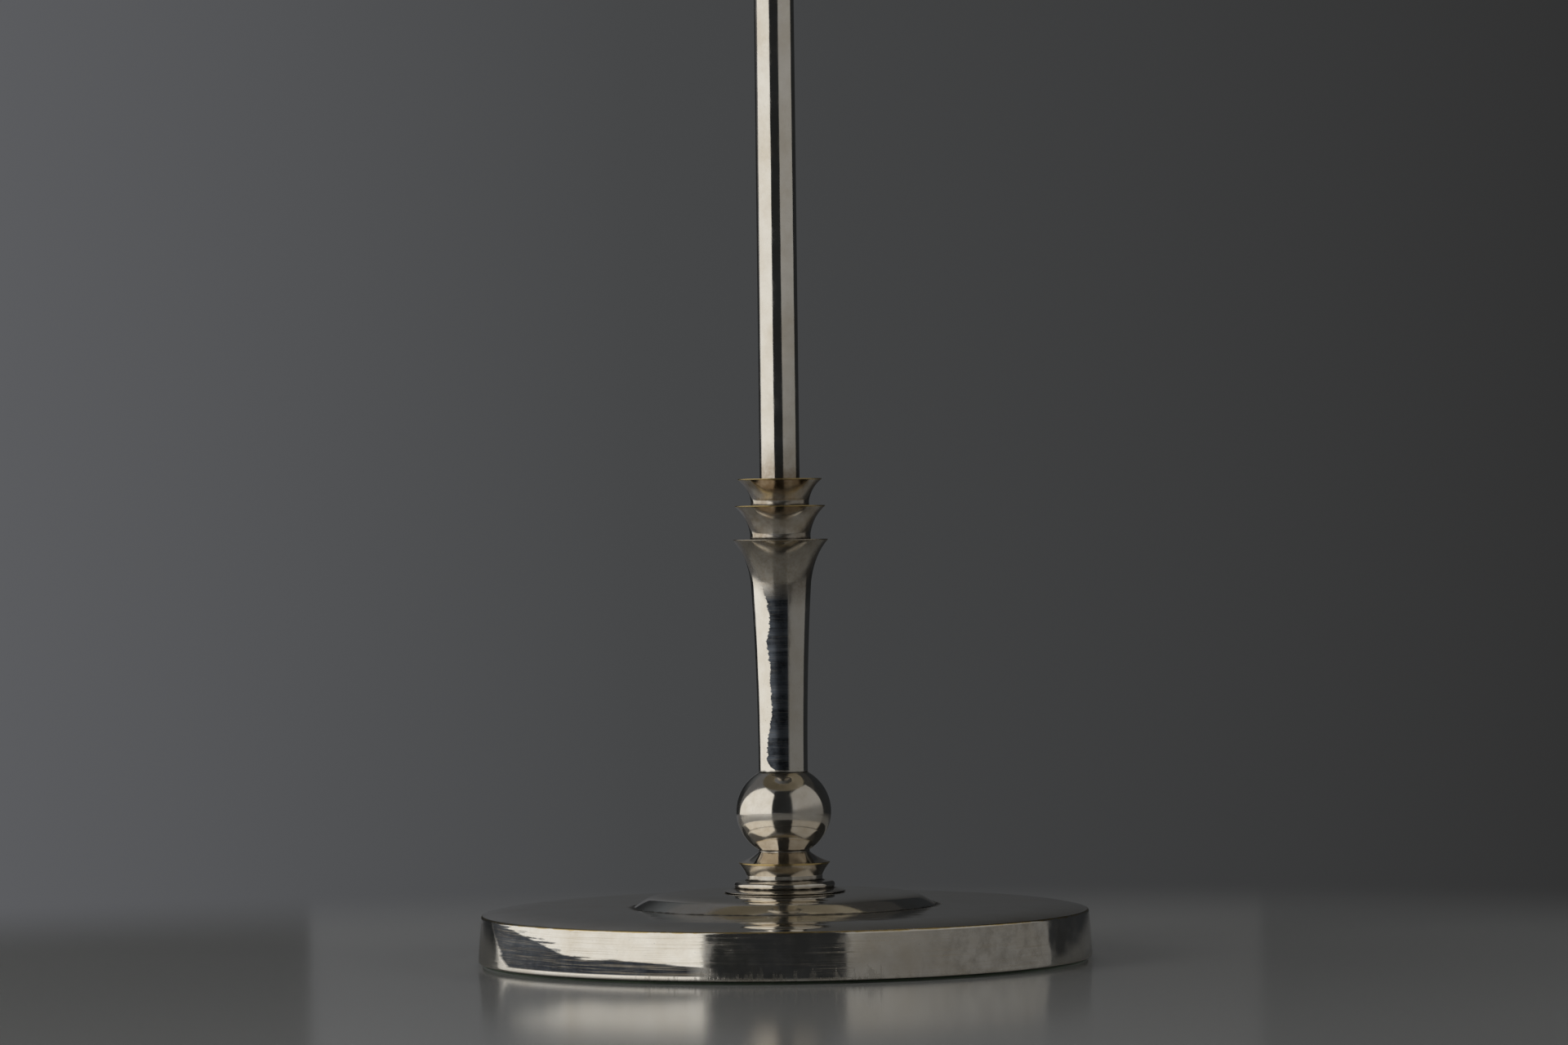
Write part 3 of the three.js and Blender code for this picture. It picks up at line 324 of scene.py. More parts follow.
def new_tree(name, **sizes):
    """A geometry tree with its named inputs, each a kind of socket, and the sockets they give."""
    tree = bpy.data.node_groups.new(name, "GeometryNodeTree")
    sizes = {"Geometry": "Geometry", **sizes, "Material": "Material"}
    for label, kind in sizes.items():
        tree.interface.new_socket(label, in_out="INPUT", socket_type="NodeSocket" + kind)
    tree.interface.new_socket("Geometry", in_out="OUTPUT", socket_type="NodeSocketGeometry")
    return tree, tree.nodes.new("NodeGroupInput").outputs, partial(node, tree)


def end_tree(tree, given, geometry):
    """Makes what a tree has built real, gives it its material and sends it out."""
    real = node(tree, "RealizeInstances", [geometry])
    smooth = node(tree, "SetShadeSmooth", {"Geometry": real})
    dressed = node(tree, "SetMaterial", {"Geometry": smooth, "Material": given["Material"]})
    tree.links.new(output_of(dressed), tree.nodes.new("NodeGroupOutput").inputs[0])
    return tree


def grown(piece, tree, material, **sizes):
    """Runs a geometry tree on a piece with its sizes, and keeps the mesh that it makes."""
    step = piece.modifiers.new(tree.name, "NODES")
    step.node_group = tree
    for socket in tree.interface.items_tree:
        if socket.in_out == "INPUT" and socket.name in sizes:
            step[socket.identifier] = sizes[socket.name]
        elif socket.in_out == "INPUT" and socket.name == "Material":
            step[socket.identifier] = material
    return settled(piece)


def radial_waves():
    """Thread, flutes or ribs: presses the outside of a turned piece in, in even waves."""
    tree, given, add = new_tree("Radial waves", Around="Float", Along="Float", Depth="Float",
                                Bottom="Float", Top="Float", RunOut="Float", Within="Float")
    x, y, z = add("SeparateXYZ", [add("InputPosition")]).outputs
    flat = add("CombineXYZ", [x, y])
    radius = add("VectorMath", [flat], "LENGTH")
    turns = add("Math", [add("Math", [y, x], "ARCTAN2"), 2 * math.pi], "DIVIDE")
    rise = add("Math", [z, given["Along"]], "MULTIPLY")
    phase = add("Math", [turns, given["Around"], rise], "MULTIPLY_ADD")
    cosine = add("Math", [add("Math", [phase, 2 * math.pi], "MULTIPLY")], "COSINE")
    pressed = add("Math", [cosine, -0.5, 0.5], "MULTIPLY_ADD")
    start = add("Math", [given["Bottom"], given["RunOut"]], "ADD")
    end = add("Math", [given["Top"], given["RunOut"]], "SUBTRACT")
    for limit in (
        add("Math", [radius, given["Within"]], "GREATER_THAN"),
        add("MapRange", [z, given["Bottom"], start], interpolation_type="SMOOTHSTEP"),
        add("MapRange", [z, given["Top"], end], interpolation_type="SMOOTHSTEP"),
        given["Depth"],
    ):
        pressed = add("Math", [pressed, limit], "MULTIPLY")
    inwards = add("VectorMath", [flat], "NORMALIZE")
    back = add("Math", [pressed, -1.0], "MULTIPLY")
    offset = add("VectorMath", {0: inwards, "Scale": back}, "SCALE")
    return end_tree(tree, given, add("SetPosition", {"Geometry": given["Geometry"], "Offset": offset}))


def bent_wires():
    """Round wire along a curve, with a blob of brazing at each end, copied evenly about the stem."""
    tree, given, add = new_tree("Bent wires", Radius="Float", Blob="Float", Copies="Int", Turn="Float")
    path = add("ResampleCurve", {"Curve": given["Geometry"], "Length": 1.5 * MM}, mode="LENGTH")
    section = add("CurvePrimitiveCircle", {"Resolution": 20, "Radius": given["Radius"]})
    wire = add("CurveToMesh", {"Curve": path, "Profile Curve": section, "Fill Caps": True})
    blob = add("MeshUVSphere", {"Segments": 24, "Rings": 14, "Radius": given["Blob"]})
    brazing = add("InstanceOnPoints", {"Points": path, "Selection": add("CurveEndpointSelection"),
                                       "Instance": blob, "Scale": (1.0, 1.0, 0.72)})
    one = add("JoinGeometry", [wire])
    tree.links.new(brazing.outputs[0], one.inputs[0])
    places = add("Points", {"Count": given["Copies"]})
    step = add("Math", [2 * math.pi, given["Copies"]], "DIVIDE")
    angle = add("Math", [add("InputIndex"), step, given["Turn"]], "MULTIPLY_ADD")
    turn = add("CombineXYZ", {"Z": angle})
    copies = add("InstanceOnPoints", {"Points": places, "Instance": one, "Rotation": turn})
    return end_tree(tree, given, copies)


def wire_path(name, places):
    """A smooth curve in the XZ plane through places given as (radius, height) in mm."""
    curve = bpy.data.curves.new(name, "CURVE")
    curve.dimensions = "3D"
    curve.resolution_u = 24
    line = curve.splines.new("BEZIER")
    line.bezier_points.add(len(places) - 1)
    for point, (radius, height) in zip(line.bezier_points, places):
        point.co = (radius * MM, 0.0, height * MM)
        point.handle_left_type = "AUTO"
        point.handle_right_type = "AUTO"
    return linked(name, curve)


# Materials

SILVER = linear("f3eee4")
SILVER_VEIL = linear("d5c8b1")
DULL_SILVER = linear("b3aca0")
OLD_VARNISH = linear("8a6f45")
BARE_BRASS = linear("cfb578")
SULPHIDE = linear("3d4149")
BLUE_BLACK = linear("33363b")
BLUE_GREY = linear("6b7179")
GRIME = linear("15130f")
PLATE_ROUGHNESS = 0.045
THREAD = 0.7


def patches(add, place, across, low, high, strength=1.0, least=0.0):
    """Uneven patches so many mm across: least where their noise is low, full where it is high."""
    clouds = add("TexNoise", {"Vector": place, "Scale": 1000 / across, "Detail": 5.0, "Roughness": 0.65})
    return add("MapRange", [clouds, low, high, least, strength])


def drawn_out(add, place, scales, detail, roughness=0.5, tilt=0.0):
    """Noise with a scale of its own along each axis, tilted about Y by some degrees."""
    way = add("Mapping", {"Vector": place, "Rotation": (0.0, math.radians(tilt), 0.0), "Scale": scales})
    return add("TexNoise", {"Vector": way, "Scale": 1.0, "Detail": detail, "Roughness": roughness})


def about_stem(add, place):
    """Degrees about the stem, where 0 is the front and + is to its right, and height in mm."""
    x, y, z = add("SeparateXYZ", [place]).outputs
    turn = add("Math", [x, add("Math", [y, -1.0], "MULTIPLY")], "ARCTAN2")
    return add("Math", [turn, math.degrees(1)], "MULTIPLY"), add("Math", [z, 1000.0], "MULTIPLY")


def silver_plate(name, marks=None, aged=0.0, brushed=0.0):
    """Silver plate on turned brass, rubbed for decades: a warm mirror with faint turning lines,
    a yellow veil in clouds, brass showing at the rubbed edges, and dark joints. Aged plate has gone
    browner, and brushed plate smears what it mirrors across its turning lines. Marks add places that
    have tarnished."""
    material, add = new_material(name, Metallic=1.0, Anisotropic=brushed, Anisotropic_Rotation=0.25)
    place = add("TexCoord").outputs["Object"]
    along, worn, soiled = [add("Attribute", attribute_name=label).outputs["Fac"]
                           for label in ("along", "worn", "soiled")]
    ragged = add("TexNoise", {"Vector": place, "Scale": 260.0, "Detail": 4.0})
    rubbed = add("Math", [worn, ragged], "ADD")
    caked = add("Math", [soiled, ragged], "ADD")
    # Turning lines, less than a millimetre apart
    spread = add("VectorMath", [place, (12.0, 12.0, 0.0)], "MULTIPLY")
    ring = add("CombineXYZ", {"Z": add("Math", [along, 1400.0], "MULTIPLY")})
    ring = add("VectorMath", [spread, ring], "ADD")
    lines = add("TexNoise", {"Vector": ring, "Scale": 1.0, "Detail": 3.0, "Roughness": 0.7})
    # Each layer: its share, its colour, and how much rougher it is
    layers = [
        (patches(add, place, 18, 0.42, 0.75, 0.6), SILVER_VEIL, 0.0),
        (patches(add, place, 5, 0.3, 0.72, aged, 0.15 * aged), OLD_VARNISH, 0.1),
        (patches(add, place, 0.7, 0.66, 0.74, 0.55), SULPHIDE, 0.05),
        (add("MapRange", [rubbed, 1.0, 1.25, 0.0, 0.9]), BARE_BRASS, 0.12),
        (add("MapRange", [caked, 1.05, 1.45, 0.0, 0.9]), GRIME, 0.4),
    ]
    if marks:
        layers += marks(add, place, *about_stem(add, place))
    colour = SILVER
    clouded = patches(add, place, 8, 0.45, 0.8, PLATE_ROUGHNESS + 0.15, PLATE_ROUGHNESS)
    roughness = add("Math", [lines, 0.05, clouded], "MULTIPLY_ADD")
    for share, tint, rougher in layers:
        colour = add("Mix", {"Factor": share, "A": colour, "B": tint}, data_type="RGBA")
        roughness = add("Math", [share, rougher, roughness], "MULTIPLY_ADD")
    waves = add("TexNoise", {"Vector": place, "Scale": 90.0, "Detail": 1.0})
    by_hand = add("Bump", {"Height": waves, "Strength": 0.05, "Distance": 0.002})
    bump = add("Bump", {"Height": lines, "Strength": 0.35, "Distance": 0.00001, "Normal": by_hand})
    if brushed:
        finish(material, Tangent=add("Tangent", direction_type="RADIAL", axis="Z"))
    return finish(material, Base_Color=colour, Roughness=roughness, Normal=bump)


def border(add, value, places, teeth, reach_of_teeth):
    """A ragged border: for each value the height or angle in a list of places, moved by its teeth."""
    values, levels = zip(*places)
    first, last, lowest, highest = values[0], values[-1], min(levels), max(levels)
    share = add("MapRange", [value, first, last])
    line = add("ValToRGB", [share], stops=[
        ((at - first) / (last - first), [(level - lowest) / (highest - lowest)] * 3 + [1.0])
        for at, level in places])
    level = add("MapRange", [line, 0.0, 1.0, lowest, highest])
    tooth = add("Math", [teeth, 0.5], "SUBTRACT")
    return add("Math", [tooth, reach_of_teeth, level], "MULTIPLY_ADD")


def inside(add, share, *limits):
    """A share, kept where every value is past its limit and softened over a width: (value, limit,
    width), where a negative width means below the limit."""
    for value, limit, width in limits:
        past = add("Math", [value, limit], "SUBTRACT")
        share = add("Math", [add("MapRange", [past, 0.0, width]), share], "MULTIPLY")
    return share


# Left border of the column's tarnish: height in mm and degrees from the front
COLUMN_BORDER = [
    (66.5, -14), (68.3, -31), (70.5, -40), (74.8, -39), (78.7, -36), (81.4, -32), (84.7, -28), (87.9, -25.5),
    (92.3, -26.5), (97.7, -29), (103, -28), (108.6, -31), (112.2, -34.5), (114, -31), (116.8, -24.5),
    (122.4, -26.5), (127, -32), (130.8, -38), (133.6, -55),
]
# Upper border of the rim's tarnish: degrees from the front and height in mm
RIM_BORDER = [
    (-76, 18), (-68, 17.3), (-60, 15.6), (-54, 13.5), (-49, 11.2), (-44, 8.9), (-39, 7.6), (-33, 8.1),
    (-26, 7.6), (-20, 6.8), (-15, 6.0),
]


def tarnish(add, place, share, lightest, wiped_away):
    """A layer of blue-grey tarnish, mottled, with bands that are wiped thin and fine pale scratches."""
    drawn = add("Mapping", {"Vector": place, "Scale": (0.05, 0.05, 1.0)})
    tint = BLUE_BLACK
    for there, lighter in (
        (patches(add, place, 2.6, 0.36, 0.68, lightest), BLUE_GREY),
        (patches(add, drawn, 6, 0.48, 0.62, wiped_away), BLUE_GREY),
        (patches(add, drawn, 0.4, 0.54, 0.7, 0.35), DULL_SILVER),
    ):
        tint = add("Mix", {"Factor": there, "A": tint, "B": lighter}, data_type="RGBA")
    return share, tint, 0.25


def column_marks(add, place, angle, height):
    """Tarnish down the column's front, with a ragged left border, and a dull trumpet."""
    teeth = drawn_out(add, place, (400.0, 400.0, 900.0), 5.0, 0.75)
    left = border(add, height, COLUMN_BORDER, teeth, 20.0)
    low, high = foot("column") + SPIGOT, foot("column") + SPIGOT + 66
    stained = inside(add, 1.0, (angle, left, 1.2), (angle, 17.0, -5.0), (height, low + 0.5, 0.6),
                     (height, high, -6.0))
    start = add("MapRange", [angle, -52.0, -26.0, high - 2.0, high - 9.0])
    dull = inside(add, patches(add, place, 3, 0.3, 0.6, 1.0, 0.75), (height, start, 8.0))
    specks = add("Math", [dull, patches(add, place, 0.8, 0.45, 0.75, 0.5)], "MULTIPLY")
    return [(dull, DULL_SILVER, 0.06), (specks, OLD_VARNISH, 0.05), tarnish(add, place, stained, 0.6, 1.0)]


def yellowed(add, place, angle, height, start, over, most):
    """Plate gone yellow below a height in mm, fully so a further distance down."""
    uneven = patches(add, place, 6, 0.3, 0.6, most, 0.3 * most)
    return [(inside(add, uneven, (height, start, -over)), OLD_VARNISH, 0.05)]


def rim_marks(add, place, angle, height):
    """Tarnish on the left of the base's rim, torn off in streaks towards the front, and the
    scratches of years of moving and wiping."""
    streaks = drawn_out(add, place, (45.0, 45.0, 750.0), 6.0, 0.7)
    upper = border(add, angle, RIM_BORDER, streaks, 3.0)
    slant = add("Math", [height, -0.62, -65.0], "MULTIPLY_ADD")
    far_left = add("Math", [streaks, 6.0, slant], "MULTIPLY_ADD")
    climbing = add("Math", [height, -2.2, -44.0], "MULTIPLY_ADD")
    fingers = add("Math", [streaks, 42.0, climbing], "MULTIPLY_ADD")
    wedge = add("Math", [
        inside(add, 1.0, (height, upper, -0.5)),
        inside(add, 1.0, (angle, fingers, -3.0), (height, 16.9, -0.5))], "MAXIMUM")
    stained = inside(add, wedge, (angle, far_left, 1.5), (angle, -12.0, -6.0), (height, 2.6, 0.4))
    scratches = [add("MapRange", [drawn_out(add, place, scales, 3.0, tilt=tilt), 0.54, 0.72])
                 for scales, tilt in (((26.0, 26.0, 2300.0), 24), ((30.0, 30.0, 2700.0), 0))]
    worked = add("Math", [patches(add, place, 14, 0.38, 0.6, 0.6, 0.15),
                          add("Math", scratches, "MAXIMUM")], "MULTIPLY")
    worked = inside(add, worked, (height, 17.4, -0.4), (angle, 58.0, -6.0))
    fray = add("Math", [drawn_out(add, place, (420.0, 420.0, 60.0), 4.0, 0.7), 26.0, -10.5], "MULTIPLY_ADD")
    frayed = inside(add, 0.45, (height, fray, -1.5), (angle, -32.0, 6.0), (angle, 30.0, -10.0))
    mottled = inside(add, patches(add, place, 5, 0.42, 0.7, 0.7), (angle, 24.0, 6.0), (angle, 57.0, -4.0),
                     (height, 17.0, -0.5))
    return [tarnish(add, place, stained, 0.25, 0.3), (mottled, DULL_SILVER, 0.15), (worked, SILVER_VEIL, 0.3),
            (frayed, DULL_SILVER, 0.35)]


def grained(name, low, high, grain, rough, depth, stretch=(1.0, 1.0, 1.0), **shader_values):
    """A solid material with a grain: two colours, a grain size in mm, the range of its roughness and
    the depth of its bumps in mm."""
    material, add = new_material(name, **shader_values)
    place = add("TexCoord").outputs["Object"]
    drawn = add("Mapping", {"Vector": place, "Scale": stretch})
    fine = add("TexNoise", {"Vector": drawn, "Scale": 1000 / grain, "Detail": 4.0, "Roughness": 0.65})
    broad = add("TexNoise", {"Vector": place, "Scale": 60.0, "Detail": 4.0})
    share = add("MapRange", [add("Math", [fine, broad], "MULTIPLY"), 0.12, 0.4])
    colour = add("Mix", {"Factor": share, "A": linear(low), "B": linear(high)}, data_type="RGBA")
    roughness = add("MapRange", [share, 0.0, 1.0, *rough])
    bump = add("Bump", {"Height": fine, "Strength": 0.6, "Distance": depth * MM})
    return finish(material, Base_Color=colour, Roughness=roughness, Normal=bump)


def linen():
    """Natural linen in plain weave: uneven threads over and under, thicker in places, and painted shade
    between them.
    """
    material, add = new_material("Linen, plain weave", Sheen_Weight=0.15, Sheen_Roughness=0.5)
    thread = add("VectorMath", {0: add("UVMap", uv_map="flat"), "Scale": 1 / (THREAD * MM)}, "SCALE")
    x, y, _ = add("SeparateXYZ", [thread]).outputs
    heights, slubs = [], []
    for main, other in ((x, y), (y, x)):
        number = add("Math", [main], "FLOOR")
        run = add("CombineXYZ", [add("Math", [number, 7.31], "MULTIPLY"),
                                 add("Math", [other, 0.05], "MULTIPLY")])
        slub = add("TexNoise", {"Vector": run, "Scale": 1.0, "Detail": 3.0})
        # A thread is round across, and goes over and under along
        across = add("Math", [add("Math", [main], "FRACT"), math.pi], "MULTIPLY")
        step = add("Math", [add("Math", [other, number], "ADD"), math.pi], "MULTIPLY")
        raised = add("Math", [add("Math", [step], "SINE"), 0.5, 0.5], "MULTIPLY_ADD")
        for factor in (add("Math", [across], "SINE"), add("Math", [slub, 0.8, 0.6], "MULTIPLY_ADD")):
            raised = add("Math", [raised, factor], "MULTIPLY")
        heights.append(raised)
        slubs.append(slub)
    height = add("Math", heights, "MAXIMUM")
    tint = add("MapRange", [add("Math", slubs, "ADD"), 0.5, 1.6])
    # Painted shade: the hollows between the threads are darkened towards a deep brown.
    gap_shade = add("MapRange", [height, 0.0, 0.35, 0.55, 0.0])
    colour = linear("cfc1a2")
    for share, colour_there in ((tint, "efe6d2"), (gap_shade, "9a8763")):
        colour = add("Mix", {"Factor": share, "A": colour, "B": linear(colour_there)}, data_type="RGBA")
    bump = add("Bump", {"Height": height, "Strength": 0.7, "Distance": 0.00025})
    roughness = add("MapRange", [height, 0.0, 1.0, 0.95, 0.8])
    return finish(material, Base_Color=colour, Roughness=roughness, Normal=bump)


# Base and stack

BORE = 5.3
TRUMPET_OUT = 0.19
TRUMPET_UP = 0.63
RIM_LAND = 0.3
RIM_WIDTH = 0.45
MOUTH_DEPTH = 2.1
SPIGOT = 1.6


def trumpet(outline, foot_radius, rim_radius, flare_foot, height, floor_radius):
    """The thin-edged mouth of the column and collars, dished inside for what stands in it."""
    flare_top = height - RIM_LAND
    pull = (foot_radius + TRUMPET_OUT * (rim_radius - foot_radius),
            flare_foot + TRUMPET_UP * (flare_top - flare_foot))
    outline.curve(pull, (rim_radius, flare_top), steps=40).edge().line(rim_radius, height).edge()
    outline.line(rim_radius - RIM_WIDTH, height).line(floor_radius, height - MOUTH_DEPTH).joint()
    return outline.line(BORE, height - MOUTH_DEPTH)


def base_outline():
    """Spun base: rolled lip, rim that leans in a little, and a gently crowned top."""
    radius, top_radius = reach("base_shell"), 106.2
    rim, crown, edge, wall, plate = 16.4, 1.8, 1.1, 1.5, reach("raised_plate")
    height = rim + crown
    outline = Outline(radius - wall, 0).line(radius - 0.5, 0)
    outline.curve((radius, 0), (radius, 0.6), steps=5)
    outline.curve((radius - 0.5, rim / 2), (top_radius, rim - edge), steps=24)
    outline.curve((top_radius, rim), (top_radius - edge, rim), steps=8)
    outline.worn.append((top_radius - 0.35 * edge, rim - 0.35 * edge))
    outline.curve((top_radius - 8, height), (top_radius - 20, height), steps=60)
    outline.line(plate + 0.4, height, steps=8).joint()
    outline.line(BORE, height).line(BORE, height - wall)
    return outline.line(radius - 2 * wall, rim - 2 * wall)


def plate_outline():
    """Low domed plate that lies on the base: a slope at its edge that bends into a crown."""
    radius, height, wall, flat = reach("raised_plate"), 4.9, 1.2, 22
    outline = Outline(radius - wall, 0).line(radius, 0).joint()
    outline.curve((radius - 2.2, 1.65), (radius - 4.7, 3.0), steps=20)
    outline.curve((radius - 6.3, 3.85), (radius - 9.5, 4.2), steps=28)
    outline.curve((radius - 14, height - 0.05), (flat, height), steps=50)
    outline.line(BORE, height).line(BORE, height - wall).line(flat, height - wall)
    return outline.line(radius - 8, 2.7)


def foot_ring_outline():
    """Thin flange with a bead on it."""
    flange, bead, bead_round, height = reach("foot_ring"), 17.6, 1.35, 4.3
    outline = Outline(BORE, 0).line(flange - 0.6, 0).line(flange, 0.3)
    outline.line(flange - 0.25, 0.5).line(bead - 0.35, 1.5).joint()
    outline.arc(bead - bead_round, height - 0.4 - bead_round, bead_round, bead_round, -50, 90)
    return outline.line(14.2, height - 0.4).line(13.6, height).joint().line(BORE, height)


def foot_moulding_outline():
    """Cup that stands on a short straight foot, spreads to a sharp edge and draws in to the neck."""
    foot_radius, edge, neck = 13.3, reach("foot_moulding"), 8.9
    foot_height, cup, ogee, neck_height = 1.7, 6.1, 3.7, 0.6
    flare_top = cup - 0.3
    outline = Outline(BORE, 0).line(foot_radius - 0.1, 0).joint().line(foot_radius, 0.2)
    outline.line(foot_radius, foot_height)
    pull = (foot_radius + 0.24 * (edge - foot_radius), foot_height + 0.42 * (flare_top - foot_height))
    outline.curve(pull, (edge, flare_top), steps=24).edge()
    outline.line(edge, cup).edge()
    outline.curve((neck + 0.39 * (edge - neck), cup + 0.37 * ogee), (neck, cup + ogee), steps=24)
    return outline.line(neck, cup + ogee + neck_height).joint().line(BORE, cup + ogee + neck_height)


def ball_outline():
    """Ball, a little flatter than a sphere."""
    radius, half, neck, column = 16.6, 16.0, 8.9, 8.6
    start = -math.degrees(math.acos(neck / radius))
    end = math.degrees(math.acos(column / radius))
    centre = -half * math.sin(math.radians(start))
    outline = Outline(BORE, 0).line(neck - 0.3, 0).joint()
    outline.arc(0, centre, radius, half, start, end, steps=110).joint()
    return outline.line(BORE, outline.points[-1][1])


def column_outline():
    """Tapered column with its trumpet mouth."""
    foot_radius, shoulder, taper, flare = 8.6, 10.6, 66.3, 15.1
    outline = Outline(BORE, 0).line(foot_radius - 0.15, 0).joint().line(foot_radius, 0.25)
    outline.curve((foot_radius, 0.53 * taper), (shoulder, taper), steps=60)
    return trumpet(outline, shoulder, reach("column"), taper, taper + flare, 10.9)


def collar_outline(node_name, radius, straight, flare, floor_radius):
    """Collar that stands in the mouth below it: a short straight foot and its own trumpet mouth."""
    outline = Outline(BORE, 0).line(radius, 0).line(radius, MOUTH_DEPTH).joint().line(radius, straight)
    return trumpet(outline, radius, reach(node_name), straight, straight + flare, floor_radius)


def stem_outline():
    """Drawn tube."""
    radius, wall, length, seat = reach("stem_tube"), 1.0, tall("stem_tube"), 5.0
    outline = Outline(radius - wall, 0).line(radius, 0)
    outline.line(radius, seat).joint().line(radius, seat + 1.2)
    return outline.line(radius, length).line(radius - wall, length)


def stem_cap_outline():
    """Cap on the stem's top: a skirt with a fine bead, and a rounded shoulder."""
    radius, height, inner, seat = reach("stem_cap"), tall("stem_cap"), 7.3, 6.0
    outline = Outline(inner, 0).line(radius - 0.3, 0).joint()
    outline.arc(radius - 0.6, 0.7, 0.6, 0.7, -80, 80, steps=10)
    outline.line(radius - 0.4, 1.6).line(radius - 0.4, height - 1.8).edge()
    outline.curve((radius - 0.4, height), (radius - 2.2, height), steps=16)
    return outline.line(BORE, height).line(BORE, seat).line(inner, seat)


def to_the_back(node_name):
    """The place of a piece that is turned about the Y axis, with its flat foot where the node's is."""
    low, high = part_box(node_name)
    place = Vector(((low.x + high.x) / 2, low.y, (low.z + high.z) / 2))
    return Matrix.Translation(place) @ Matrix.Rotation(math.radians(-90), 4, "X")


def bush_outline():
    """Inlet bush: a barb inside the rim and a domed flange outside it."""
    bore, neck, barb, flange, dome, barb_length = 3.5, 4.7, 5.4, 6.4, 1.4, 2.5
    face = (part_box("cord_bush")[1].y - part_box("cord_bush")[0].y) / MM - dome
    outline = Outline(bore, 0).line(neck, 0).line(barb, barb_length).line(neck, barb_length)
    outline.line(neck, face).line(flange, face).joint().line(flange, face + 0.4)
    outline.curve((flange - 0.1, face + dome), (neck - 0.4, face + dome), steps=16)
    return outline.curve((bore, face + dome), (bore, face + 0.6), steps=10)


# Lampholder and bulb

SHELL_RADIUS = 20.7
SHELL_THREAD_RADIUS = 19.6
SHELL_SHOULDER = 26.0
SHELL_REST = 27.5


def holder_cap_outline():
    """Holder's cap: a boss for the tie rod that swells into a bell."""
    boss, bell, height, wall = 8.0, reach("holder_cap"), tall("holder_cap"), 1.2
    shoulder, bend, halfway = height - 5.0, 13.5, (boss + bell) / 2
    outline = Outline(BORE, 0).line(boss, 0).edge().line(boss, 7.6).line(boss, 8.2)
    outline.curve((boss, bend), (halfway, bend), steps=16)
    outline.curve((bell, bend), (bell, shoulder), steps=20)
    outline.line(bell, height).line(bell - wall, height).line(bell - wall, shoulder)
    outline.curve((bell - wall, bend + wall), (halfway, bend + wall), steps=12)
    return outline.line(BORE + wall, bend + wall).line(BORE, 9.2)


def holder_shell_outline():
    """Holder's shell: a pressed groove, a flat shoulder that carries the shade carrier, and its thread."""
    radius, thread, wall, height = SHELL_RADIUS, SHELL_THREAD_RADIUS, 1.0, tall("holder_shell")
    outline = Outline(radius - wall, 0).line(radius, 0).edge().line(radius, 2.2)
    outline.arc(radius, 3.0, 0.5, 0.8, -90, -270, steps=12).line(radius, 4.0)
    outline.line(radius, SHELL_SHOULDER).line(reach("holder_shell"), SHELL_SHOULDER).edge()
    outline.line(reach("holder_shell"), SHELL_REST).edge().line(thread, SHELL_REST)
    outline.line(thread, height, steps=150).line(thread - wall, height)
    return outline.line(thread - wall, SHELL_SHOULDER).line(radius - wall, SHELL_SHOULDER - wall)


def mouth_ring_outline():
    """Porcelain ring that lines the socket's mouth, glazed over rounded edges."""
    inner, outer, height = 14.5, reach("mouth_ring"), tall("mouth_ring")
    outline = Outline(inner, 0).line(outer, 0).line(outer, height - 1.2)
    outline.curve((outer, height), (outer - 1.4, height), steps=12)
    return outline.line(inner + 0.8, height).curve((inner, height), (inner, height - 0.8), steps=8)


def screw_shell_outline():
    """Socket's screw shell: thin sheet, rolled to the thread."""
    outer, height, wall = reach("screw_shell"), tall("screw_shell"), 0.6
    outline = Outline(outer - wall, 0).line(outer, 0).line(outer, height, steps=90)
    return outline.line(outer - wall, height).line(outer - wall, 0, steps=90)


def bulb_cap_outline():
    """Bulb's cap: thin sheet, rolled to the thread, with a plain collar round the glass."""
    tip, waist, radius, wall, height = 4.6, 10.8, reach("bulb_cap"), 0.5, tall("bulb_cap")
    turn = radius - waist
    outline = Outline(tip, 0).line(waist, 0).line(radius, turn).line(radius, height - 0.7, steps=110)
    outline.line(radius + 0.15, height - 0.3).line(radius - 0.1, height).line(radius - wall, height)
    return outline.line(radius - wall, turn, steps=110).line(waist, wall).line(tip, wall)


def glass_side(inset):
    """Points up the glass at a depth inside it: a neck that swells into a globe, up to the top."""
    globe, neck, socket, centre = 30 - inset, 12.4 - inset, 6.0, 54.0
    meet, pull = math.radians(30), 15.0
    radius, height = globe * math.cos(meet), centre - globe * math.sin(meet)
    side = Outline(neck, 0).line(neck, socket)
    side.curve((neck, socket + pull), (radius - pull * math.sin(meet), height - pull * math.cos(meet)),
               (radius, height), steps=30)
    side.arc(0, centre, globe, globe, -30, 90, steps=48)
    return side.points[:-1] + [(0.0, side.points[-1][1])]


def bulb_glass_outline():
    """Bulb's glass, 0.8 mm thick."""
    outline = Outline(0, 0)
    outline.points = glass_side(0) + glass_side(0.8)[::-1]
    return outline


def hex_nut(name, node_name):
    """Hexagon nut with both faces chamfered to a circle, 14 mm across its flats."""
    flats, height, sides, tilt = 14.0, tall(node_name), 180, math.tan(math.radians(30))
    land, low = 0.96 * flats / 2, foot(node_name)
    rings = []
    for step in range(sides):
        angle = 2 * math.pi * step / sides
        corner = flats / 2 / math.cos((angle + math.pi / 6) % (math.pi / 3) - math.pi / 6)
        drop = (corner - land) * tilt
        section = ((BORE, 0), (land, 0), (corner, drop), (corner, height - drop), (land, height),
                   (BORE, height))
        rings.append([in_metres(radius, angle, low + z) for radius, z in section])
    piece = new_piece(name, mesh_of_rings(name, rings))
    piece.data.set_sharp_from_angle(angle=math.radians(20))
    return piece


